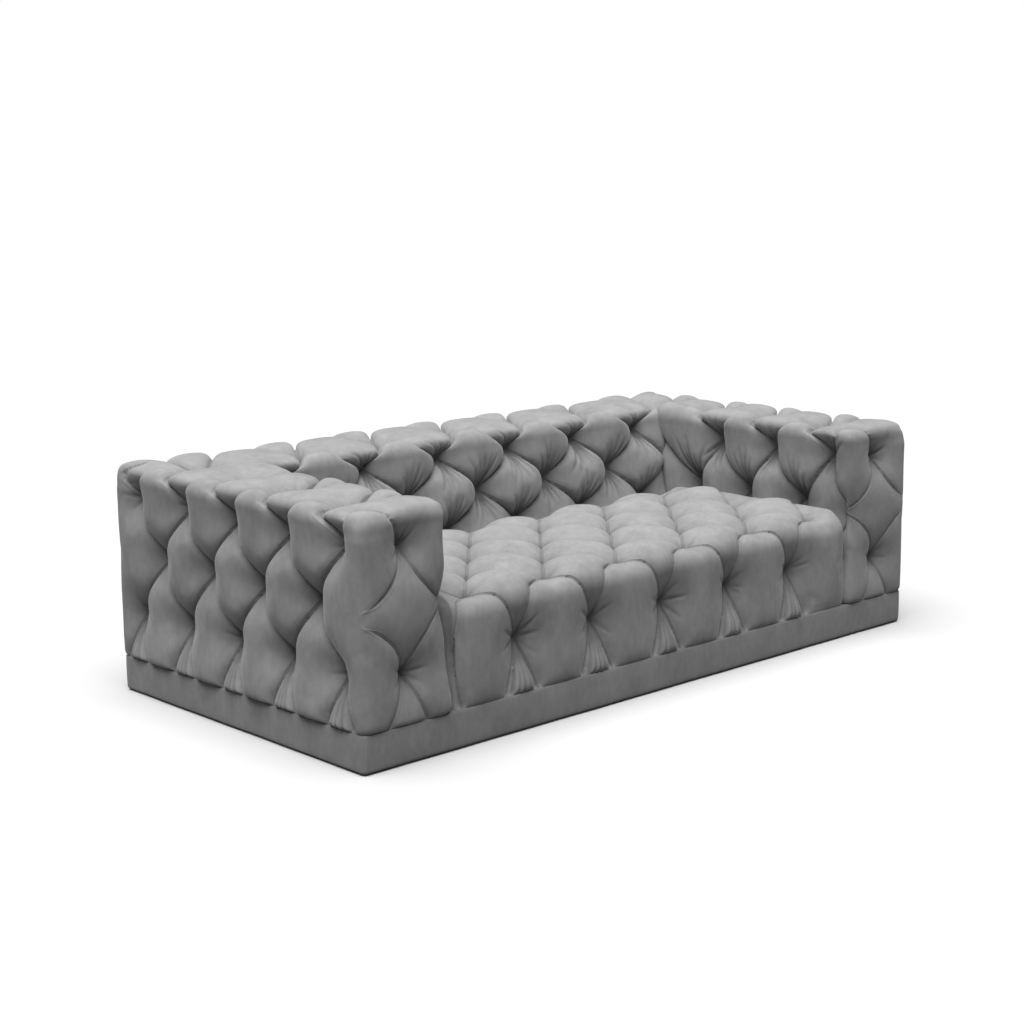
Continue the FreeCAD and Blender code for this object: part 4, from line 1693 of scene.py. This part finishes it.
def nap_group() -> NodeTree:
    """The velvet's nap: a brushed drift of light and dark, and a fine pile."""
    outputs = {"Tone": "NodeSocketFloat", "Height": "NodeSocketFloat"}
    group = new_group("velvet_nap", {"Drift": 0.06, "Pile": 900.0}, outputs)
    kit = NodeKit(group)
    entry = group.nodes["in"].outputs
    stretch = kit.add("ShaderNodeMapping", {"Vector": entry["Vector"], "Scale": (1.0, 1.0, 0.55)})
    broad = kit.add("ShaderNodeTexNoise", {"Vector": stretch.outputs[0], "Scale": 15.0, "Detail": 3.0})
    fine = kit.add("ShaderNodeTexNoise", {"Vector": stretch.outputs[0], "Scale": 55.0, "Detail": 4.0})
    pile = kit.add("ShaderNodeTexNoise", {"Vector": entry["Vector"], "Scale": entry["Pile"], "Detail": 1.0})
    slow = kit.math("MULTIPLY", broad.outputs[0], 0.6)
    mixed = kit.math("ADD", slow, kit.math("MULTIPLY", fine.outputs[0], 0.4))
    centred = kit.math("SUBTRACT", mixed, 0.5)
    grain = kit.math("MULTIPLY", kit.math("SUBTRACT", pile.outputs[0], 0.5), 0.5)
    drift = kit.math("MULTIPLY", kit.math("ADD", centred, grain), entry["Drift"])
    tone = kit.math("ADD", kit.math("MULTIPLY", drift, 4.0), 1.0)
    group.links.new(tone, group.nodes["out"].inputs["Tone"])
    group.links.new(kit.math("ADD", fine.outputs[0], kit.math("MULTIPLY", pile.outputs[0], 0.4)),
                    group.nodes["out"].inputs["Height"])
    return group


@dataclass(frozen=True)
class VelvetFinish:
    """Short-pile velvet, with painted shade in its pits and along its pleats.

    Attributes:
        name: The material's name.
        colour: The open colour, linear.
        drift: How far the nap's tone drifts.
        pit_shade: How dark the painted shade in a pit is, as a share of the colour.
        sheen: Weight of the pile's sheen.
    """

    name: str
    colour: tuple[float, float, float]
    drift: float = 0.20
    pit_shade: float = 0.60
    sheen: float = 0.28

    def material(self, nap: NodeTree) -> Material:
        """Builds the material.

        Args:
            nap: The nap's node group.

        Returns:
            The material.
        """
        material = bpy.data.materials.new(self.name)
        material.use_nodes = True
        tree = material.node_tree
        kit = NodeKit(tree)
        shader = tree.nodes["Principled BSDF"]
        shader.inputs["Roughness"].default_value = 0.9
        shader.inputs["Specular IOR Level"].default_value = 0.12
        shader.inputs["Sheen Weight"].default_value = self.sheen
        shader.inputs["Sheen Roughness"].default_value = 0.35
        coords = kit.add("ShaderNodeTexCoord")
        pile = kit.add("ShaderNodeGroup", node_tree=nap)
        tree.links.new(coords.outputs["Object"], pile.inputs["Vector"])
        pile.inputs["Drift"].default_value = self.drift
        # Painted shade: the pit attribute darkens the colour in pits, along pleats and folds, and on the
        # plinth band.
        pit = kit.add("ShaderNodeAttribute", attribute_name="pit").outputs["Fac"]
        shade = kit.math("SUBTRACT", 1.0, kit.math("MULTIPLY", kit.math("POWER", pit, 1.3), self.pit_shade))
        tone = kit.math("MULTIPLY", pile.outputs["Tone"], shade)
        tree.links.new(kit.tint(self.colour, tone), shader.inputs["Base Color"])
        pleat = kit.add("ShaderNodeAttribute", attribute_name="pleat").outputs["Fac"]
        off = kit.math("DIVIDE", kit.math("SUBTRACT", pleat, 0.0065), 0.0026)
        lip = kit.math("EXPONENT", kit.math("MULTIPLY", kit.math("MULTIPLY", off, off), -1.0))
        relief = kit.math("ADD", pile.outputs["Height"], kit.math("MULTIPLY", lip, 1.6))
        bump = kit.add("ShaderNodeBump", {"Height": relief, "Distance": 0.0012, "Strength": 0.5})
        tree.links.new(bump.outputs[0], shader.inputs["Normal"])
        return material


def effect_group(effect: Effect) -> NodeTree:
    """Builds one of the shared surface effects.

    Args:
        effect: Which one.

    Returns:
        The node group, with a scale and a contrast going in and a tone and a height coming out.
    """
    outputs = {"Tone": "NodeSocketFloat", "Height": "NodeSocketFloat"}
    group = new_group(effect.value, {"Scale": 40.0, "Contrast": 0.2}, outputs)
    kit = NodeKit(group)
    entry = group.nodes["in"].outputs
    place = {"Vector": entry["Vector"], "Scale": entry["Scale"]}
    if effect is Effect.GRAIN:
        rings = kit.add("ShaderNodeTexNoise", {**place, "Detail": 3.0, "Distortion": 0.6}).outputs[0]
        lines = kit.math("ABSOLUTE", kit.math("SINE", kit.math("MULTIPLY", rings, 26.0)))
        height = kit.math("MULTIPLY", kit.math("ADD", lines, rings), 0.5)
    elif effect is Effect.WEAVE:
        axes = kit.add("ShaderNodeSeparateXYZ", {0: entry["Vector"]}).outputs
        turns = kit.math("MULTIPLY", entry["Scale"], math.pi)
        warp = kit.math("ABSOLUTE", kit.math("SINE", kit.math("MULTIPLY", axes[0], turns)))
        rise = kit.math("ADD", axes[1], axes[2])
        weft = kit.math("ABSOLUTE", kit.math("SINE", kit.math("MULTIPLY", rise, turns)))
        height = kit.math("MAXIMUM", kit.math("MULTIPLY", warp, 0.9), weft)
    else:
        cells = kit.add("ShaderNodeTexVoronoi", place).outputs["Color"]
        height = kit.add("ShaderNodeSeparateColor", {0: cells}).outputs[0]
    drift = kit.math("MULTIPLY", kit.math("SUBTRACT", height, 0.5), entry["Contrast"])
    group.links.new(kit.math("ADD", drift, 1.0), group.nodes["out"].inputs["Tone"])
    group.links.new(height, group.nodes["out"].inputs["Height"])
    return group


@dataclass(frozen=True)
class SurfaceFinish:
    """A finish whose tone and relief come from a shared effect.

    Attributes:
        name: The material's name.
        colour: The open colour, linear.
        effect: The effect that it is worked with.
        scale: The effect's scale, or the yarns per metre of a cloth.
        contrast: How far the effect changes the tone.
        roughness: The surface's roughness.
        metallic: 1 for bare metal.
        relief: The height of the effect, in metres.
    """

    name: str
    colour: Point
    effect: Effect
    scale: float
    contrast: float
    roughness: float
    metallic: float = 0.0
    relief: float = 0.0002

    def material(self, groups: dict[Effect, NodeTree], run: Run = Run.EVEN) -> Material:
        """Builds the material, or finds it if it was built before.

        Args:
            groups: The node group of each effect.
            run: The way that the grain runs.

        Returns:
            The material.
        """
        name = self.name if run is Run.EVEN else f"{self.name}_{run.name.lower()}"
        if name in bpy.data.materials:
            return bpy.data.materials[name]
        material = bpy.data.materials.new(name)
        material.use_nodes = True
        tree = material.node_tree
        kit = NodeKit(tree)
        shader = tree.nodes["Principled BSDF"]
        shader.inputs["Metallic"].default_value = self.metallic
        coords = kit.add("ShaderNodeTexCoord").outputs["Object"]
        stretched = kit.add("ShaderNodeMapping", {"Vector": coords, "Scale": run.value}).outputs[0]
        worked = kit.add("ShaderNodeGroup", node_tree=groups[self.effect])
        tree.links.new(stretched, worked.inputs["Vector"])
        worked.inputs["Scale"].default_value = self.scale
        worked.inputs["Contrast"].default_value = self.contrast
        tree.links.new(kit.tint(self.colour, worked.outputs["Tone"]), shader.inputs["Base Color"])
        height = worked.outputs["Height"]
        rough = kit.spread(height, self.roughness - 0.06, self.roughness + 0.06)
        tree.links.new(rough, shader.inputs["Roughness"])
        bump = kit.add("ShaderNodeBump", {"Height": height, "Distance": self.relief, "Strength": 0.6})
        tree.links.new(bump.outputs[0], shader.inputs["Normal"])
        return material


PLYWOOD = SurfaceFinish("plywood", (0.60, 0.42, 0.23), Effect.GRAIN, 22.0, 0.45, 0.62)
SOFTWOOD = SurfaceFinish("softwood", (0.66, 0.46, 0.26), Effect.GRAIN, 15.0, 0.55, 0.66)
HARDBOARD = SurfaceFinish("hardboard", (0.15, 0.085, 0.045), Effect.GRAIN, 160.0, 0.30, 0.55)
STEEL = SurfaceFinish("steel", (0.52, 0.52, 0.53), Effect.SPANGLE, 220.0, 0.18, 0.38, metallic=1.0)
WEBBING = SurfaceFinish("webbing", (0.030, 0.028, 0.026), Effect.WEAVE, 700.0, 0.70, 0.85)
HESSIAN = SurfaceFinish("hessian", (0.36, 0.25, 0.12), Effect.WEAVE, 420.0, 0.80, 0.92, relief=0.0005)
DUST_CLOTH = SurfaceFinish("dust_cloth", (0.012, 0.012, 0.012), Effect.WEAVE, 1400.0, 0.60, 0.90)
NYLON = SurfaceFinish("nylon", (0.015, 0.015, 0.015), Effect.GRAIN, 300.0, 0.15, 0.42)


@dataclass
class Carcass:
    """The hidden frame, springs and webbing, which keep their CAD shape and get their finishes."""

    steel_nodes: tuple[str, ...] = (
        "seat_springs", "spring_clips", "frame_bolts", "frame_nuts", "seat_brackets")

    def finish_of(self, node: str) -> SurfaceFinish:
        """The finish of a CAD node.

        Args:
            node: Its name.

        Returns:
            The finish.
        """
        if node in self.steel_nodes:
            return STEEL
        if node == "spring_cover":
            return HESSIAN
        if node == "back_webbing":
            return WEBBING
        if node.endswith("_skin"):
            return HARDBOARD
        if node.startswith(("plinth", "seat")) and ("rail" in node or "block" in node):
            return SOFTWOOD
        return PLYWOOD

    def run_of(self, node: str) -> Run:
        """The way that the grain of a board runs.

        Args:
            node: The board's name.

        Returns:
            The way.
        """
        if self.finish_of(node).effect is not Effect.GRAIN or node.endswith("_skin"):
            return Run.EVEN
        if any(word in node for word in ("ribs", "end_boards", "front_board", "rear_board", "block")):
            return Run.UPRIGHT
        if any(word in node for word in ("left", "right", "middle", "cross")):
            return Run.ALONG_Y
        return Run.ALONG_X

    def dress(self, nodes: dict[str, Object], groups: dict[Effect, NodeTree]) -> None:
        """Gives every CAD node that still shows its finish.

        Args:
            nodes: The CAD nodes by name.
            groups: The node group of each effect.
        """
        shown = {name: node for name, node in nodes.items() if not node.hide_render}
        for name, node in shown.items():
            material = self.finish_of(name).material(groups, self.run_of(name))
            node.data.materials.clear()
            node.data.materials.append(material)
        LOG.info("carcass: %d CAD pieces given their finish", len(shown))


def geometry_tree(name: str, inputs: dict[str, str]) -> NodeTree:
    """Starts a Geometry Nodes tree with named inputs.

    Args:
        name: The tree's name.
        inputs: The socket type of each input after the geometry.

    Returns:
        The tree, with its input and output nodes in place.
    """
    tree = bpy.data.node_groups.new(name, "GeometryNodeTree")
    tree.interface.new_socket("Geometry", in_out="INPUT", socket_type="NodeSocketGeometry")
    for label, kind in inputs.items():
        tree.interface.new_socket(label, in_out="INPUT", socket_type=kind)
    tree.interface.new_socket("Geometry", in_out="OUTPUT", socket_type="NodeSocketGeometry")
    tree.nodes.new("NodeGroupInput").name = "in"
    tree.nodes.new("NodeGroupOutput").name = "out"
    return tree


def realized(name: str, carrier: Mesh, tree: NodeTree, values: dict) -> Mesh:
    """Runs a Geometry Nodes tree on a carrier mesh.

    Args:
        name: The name of the result.
        carrier: The points or edges that the tree starts from.
        tree: The tree.
        values: The value of each of its named inputs.

    Returns:
        The result as a plain mesh.
    """
    holder = bpy.data.objects.new(f"{name}_carrier", carrier)
    bpy.context.scene.collection.objects.link(holder)
    modifier = holder.modifiers.new("repeat", "NODES")
    modifier.node_group = tree
    for item in tree.interface.items_tree:
        if item.in_out == "INPUT" and item.name in values:
            modifier[item.identifier] = values[item.name]
    mesh = bpy.data.meshes.new_from_object(holder.evaluated_get(bpy.context.evaluated_depsgraph_get()))
    mesh.name = name
    bpy.data.objects.remove(holder)
    bpy.data.meshes.remove(carrier)
    return mesh


@dataclass
class Underside:
    """The dust cover under the plinth, its staples and the glides."""

    half_width: float = 1.132
    half_depth: float = 0.547
    height: float = 0.0096
    sag: float = 0.003
    border: float = 0.030
    cell: float = 0.012
    staple: Point = (0.011, 0.0011, 0.0007)
    staple_inset: float = 0.007
    staple_spacing: float = 0.0608
    glide_radius: float = 0.0115
    glide_height: float = 0.009
    glide_spacing: float = 0.730
    glide_row: float = 0.5425

    def cover_mesh(self) -> Mesh:
        """The dust cover: held flat along its border, hanging a little inside it."""
        x = np.linspace(-self.half_width, self.half_width, round(2 * self.half_width / self.cell) + 1)
        y = np.linspace(-self.half_depth, self.half_depth, round(2 * self.half_depth / self.cell) + 1)
        across, ahead = np.meshgrid(x, y, indexing="ij")
        free = []
        for place, half in ((across, self.half_width), (ahead, self.half_depth)):
            free.append(np.clip((half - self.border - np.abs(place)) / (half - self.border), 0, 1))
        hang = self.sag * np.minimum(1.6 * free[0], 1.0) ** 0.8 * free[1] ** 0.8
        ripple = 0.0004 * np.sin(across * 31 + 3 * np.sin(ahead * 9)) * np.clip(8 * free[0] * free[1], 0, 1)
        points = np.stack([across, ahead, self.height - hang + ripple], axis=-1).reshape(-1, 3)
        index = np.arange(len(points)).reshape(len(x), len(y))
        corners = [index[:-1, :-1], index[:-1, 1:], index[1:, 1:], index[1:, :-1]]
        return mesh_from_arrays("underside_cloth", points, [np.stack(corners, axis=-1).reshape(-1, 4)])

    def staple_mesh(self, material: Material) -> Mesh:
        """The staples along the cover's four sides, clear of the glides.

        Args:
            material: Their steel.

        Returns:
            One mesh of all staples.
        """
        tree = geometry_tree("staple_rows", {
            "Spacing": "NodeSocketFloat", "Size": "NodeSocketVector", "Jitter": "NodeSocketFloat",
            "Seed": "NodeSocketInt"})
        kit = NodeKit(tree)
        entry = tree.nodes["in"].outputs
        rows = kit.add("GeometryNodeMeshToCurve", {0: entry["Geometry"]}).outputs[0]
        spacing = {"Curve": rows, "Length": entry["Spacing"]}
        spots = kit.add("GeometryNodeResampleCurve", spacing, mode="LENGTH")
        along = kit.add("GeometryNodeInputTangent").outputs[0]
        turned = kit.add("FunctionNodeAlignRotationToVector", {"Vector": along}, axis="X").outputs[0]
        less = kit.math("MULTIPLY", entry["Jitter"], -1.0)
        limits = {2: less, 3: entry["Jitter"], "Seed": entry["Seed"]}
        chance = kit.add("FunctionNodeRandomValue", limits, data_type="FLOAT")
        twist = kit.add("ShaderNodeCombineXYZ", {"Z": chance.outputs[1]}).outputs[0]
        spin = kit.add("FunctionNodeEulerToRotation", {0: twist}).outputs[0]
        turned = kit.add("FunctionNodeRotateRotation", {0: turned, 1: spin}).outputs[0]
        staple = kit.add("GeometryNodeMeshCube", {"Size": entry["Size"]}).outputs[0]
        copies = kit.add("GeometryNodeInstanceOnPoints", {"Points": spots.outputs[0], "Instance": staple,
                                                          "Rotation": turned}).outputs[0]
        self.close(kit, copies, material)
        half_x, half_y = self.half_width - self.staple_inset, self.half_depth - self.staple_inset
        level = self.height - self.staple[2] / 2 - 0.0002
        long_run = 17.5 * self.staple_spacing
        short_run = half_y - 0.06
        ends = []
        for side in Side:
            ends += [(-long_run, side.value * half_y, level), (long_run, side.value * half_y, level)]
            ends += [(side.value * half_x, -short_run, level), (side.value * half_x, short_run, level)]
        carrier = bpy.data.meshes.new("staple_rows")
        carrier.from_pydata(ends, [(0, 1), (2, 3), (4, 5), (6, 7)], [])
        values = {"Spacing": self.staple_spacing, "Size": self.staple, "Jitter": 0.12, "Seed": 4}
        return realized("staples", carrier, tree, values)

    def glide_mesh(self, material: Material) -> Mesh:
        """The eight glides, each with a bevelled foot.

        Args:
            material: Their nylon.

        Returns:
            One mesh of all glides.
        """
        tree = geometry_tree("glide_set", {"Radius": "NodeSocketFloat", "Height": "NodeSocketFloat"})
        kit = NodeKit(tree)
        entry = tree.nodes["in"].outputs
        bevel = kit.math("MULTIPLY", entry["Height"], 0.2)
        body = kit.math("SUBTRACT", entry["Height"], bevel)
        foot = kit.add("GeometryNodeMeshCone", {
            "Vertices": 40, "Radius Top": entry["Radius"], "Depth": bevel,
            "Radius Bottom": kit.math("SUBTRACT", entry["Radius"], bevel)}).outputs[0]
        stem = kit.add("GeometryNodeMeshCylinder", {
            "Vertices": 40, "Radius": entry["Radius"], "Depth": body}).outputs[0]
        middle = kit.math("ADD", bevel, kit.math("MULTIPLY", body, 0.5))
        lift = kit.add("ShaderNodeCombineXYZ", {"Z": middle}).outputs[0]
        raised = kit.add("GeometryNodeTransform", {"Geometry": stem, "Translation": lift}).outputs[0]
        joined = kit.add("GeometryNodeJoinGeometry")
        tree.links.new(foot, joined.inputs[0])
        tree.links.new(raised, joined.inputs[0])
        copies = kit.add("GeometryNodeInstanceOnPoints", {"Points": entry["Geometry"],
                                                          "Instance": joined.outputs[0]}).outputs[0]
        self.close(kit, copies, material)
        places = [((column - 1.5) * self.glide_spacing, side.value * self.glide_row, 0.0)
                  for column in range(4) for side in Side]
        carrier = bpy.data.meshes.new("glide_set")
        carrier.from_pydata(places, [], [])
        values = {"Radius": self.glide_radius, "Height": self.glide_height}
        return realized("glide_feet", carrier, tree, values)

    def close(self, kit: NodeKit, copies: NodeSocket, material: Material) -> None:
        """Ends a tree by realizing its copies and setting their material.

        Args:
            kit: The tree's kit.
            copies: The copies.
            material: Their material.
        """
        solid = kit.add("GeometryNodeRealizeInstances", {0: copies}).outputs[0]
        dressed = kit.add("GeometryNodeSetMaterial", {"Geometry": solid, "Material": material}).outputs[0]
        kit.tree.links.new(dressed, kit.tree.nodes["out"].inputs[0])

    def build(self, groups: dict[Effect, NodeTree]) -> None:
        """Makes the cover, its staples and the glides.

        Args:
            groups: The node group of each effect.
        """
        cloth = add_object("underside_cloth", self.cover_mesh(), DUST_CLOTH.material(groups))
        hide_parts("dust_cover")
        steel = STEEL.material(groups)
        staples = add_object("staples", self.staple_mesh(steel), steel)
        nylon = NYLON.material(groups)
        glides = add_object("glide_feet", self.glide_mesh(nylon), nylon)
        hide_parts("glides")


@dataclass
class Studio:
    """The floor, the lights and the camera."""

    lens_pixels: float = 1884.307
    frame_pixels: float = 1024.0
    sensor: float = 36.0
    yaw: float = 43.004
    pitch: float = -10.863
    roll: float = -0.471
    place: Point = (-3.99518, -4.17525, 1.56436)
    ambient: float = 0.07
    sun: float = 4.9
    sun_angle: float = 62.0
    sun_way: Point = (0.19, 0.10, -1.0)
    floor_half: float = 30.0
    floor_lighting: float = 0.14
    floor_seen: float = 0.655

    def build(self) -> None:
        """Sets up everything that is not part of the sofa."""
        self.set_camera()
        self.set_lights()
        self.add_floor()

    def set_camera(self) -> None:
        """Places the camera at the photograph's viewpoint."""
        yaw, pitch, roll = (math.radians(angle) for angle in (self.yaw, self.pitch, self.roll))
        forward = Vector((
            math.sin(yaw) * math.cos(pitch), math.cos(yaw) * math.cos(pitch), math.sin(pitch)))
        level = forward.cross(Vector((0, 0, 1))).normalized()
        raised = level.cross(forward)
        right = math.cos(roll) * level + math.sin(roll) * raised
        upward = right.cross(forward)
        turn = Matrix((right, upward, -forward)).transposed().to_4x4()
        data = bpy.data.cameras.new("camera")
        data.sensor_width = self.sensor
        data.lens = self.lens_pixels * self.sensor / self.frame_pixels
        data.clip_end = 60.0
        camera = bpy.data.objects.new("camera", data)
        camera.matrix_world = Matrix.Translation(self.place) @ turn
        bpy.context.scene.collection.objects.link(camera)
        bpy.context.scene.camera = camera

    def seen_directly(self, tree: NodeTree) -> NodeSocket:
        """1 for rays from the camera, in a mirror or through glass, 0 for the rays that light the sofa.

        Args:
            tree: The tree that it is added to.

        Returns:
            The socket with that value.
        """
        kit = NodeKit(tree)
        path = kit.add("ShaderNodeLightPath").outputs
        mirrored = kit.math("MAXIMUM", path["Is Glossy Ray"], path["Is Transmission Ray"])
        return kit.math("MAXIMUM", path["Is Camera Ray"], mirrored)

    def set_lights(self) -> None:
        """A wide soft lamp overhead and a pale world."""
        scene = bpy.context.scene
        scene.view_settings.view_transform = "Standard"
        world = bpy.data.worlds.new("studio")
        scene.world = world
        world.use_nodes = True
        tree = world.node_tree
        background = tree.nodes["Background"]
        background.inputs["Color"].default_value = (1, 1, 1, 1)
        level = NodeKit(tree).spread(self.seen_directly(tree), self.ambient, 1.0)
        tree.links.new(level, background.inputs["Strength"])
        data = bpy.data.lights.new("overhead", "SUN")
        data.energy = self.sun
        data.angle = math.radians(self.sun_angle)
        lamp = bpy.data.objects.new("overhead", data)
        lamp.rotation_euler = Vector(self.sun_way).to_track_quat("-Z", "Y").to_euler()
        scene.collection.objects.link(lamp)

    def add_floor(self) -> None:
        """A wide white floor that keeps the sofa's shadow."""
        material = bpy.data.materials.new("floor_white")
        material.use_nodes = True
        tree = material.node_tree
        shader = tree.nodes["Principled BSDF"]
        shader.inputs["Roughness"].default_value = 1.0
        shader.inputs["Specular IOR Level"].default_value = 0.0
        mix = tree.nodes.new("ShaderNodeMix")
        mix.data_type = "RGBA"
        for label, tone in (("A", self.floor_lighting), ("B", self.floor_seen)):
            mix.inputs[label].default_value = (tone, tone, tone, 1.0)
        tree.links.new(self.seen_directly(tree), mix.inputs["Factor"])
        tree.links.new(mix.outputs["Result"], shader.inputs["Base Color"])
        half = self.floor_half
        corners = [(-half, -half, 0), (half, -half, 0), (half, half, 0), (-half, half, 0)]
        mesh = bpy.data.meshes.new("floor")
        mesh.from_pydata(corners, [], [(0, 1, 2, 3)])
        mesh.materials.append(material)
        floor = bpy.data.objects.new("floor", mesh)
        bpy.context.scene.collection.objects.link(floor)


def main() -> None:
    """Builds and dresses the sofa."""
    logging.basicConfig(level=logging.INFO, format="%(message)s")
    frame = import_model()
    velvet = VelvetFinish("grey_velvet", (0.315, 0.315, 0.318)).material(nap_group())
    ArmsAndBack().build(velvet)
    BenchSeat().build(velvet)
    Plinth().build(velvet)
    groups = {effect: effect_group(effect) for effect in Effect}
    Underside().build(groups)
    Carcass().dress(frame["nodes"], groups)
    Studio().build()


if __name__ == "__main__":
    main()
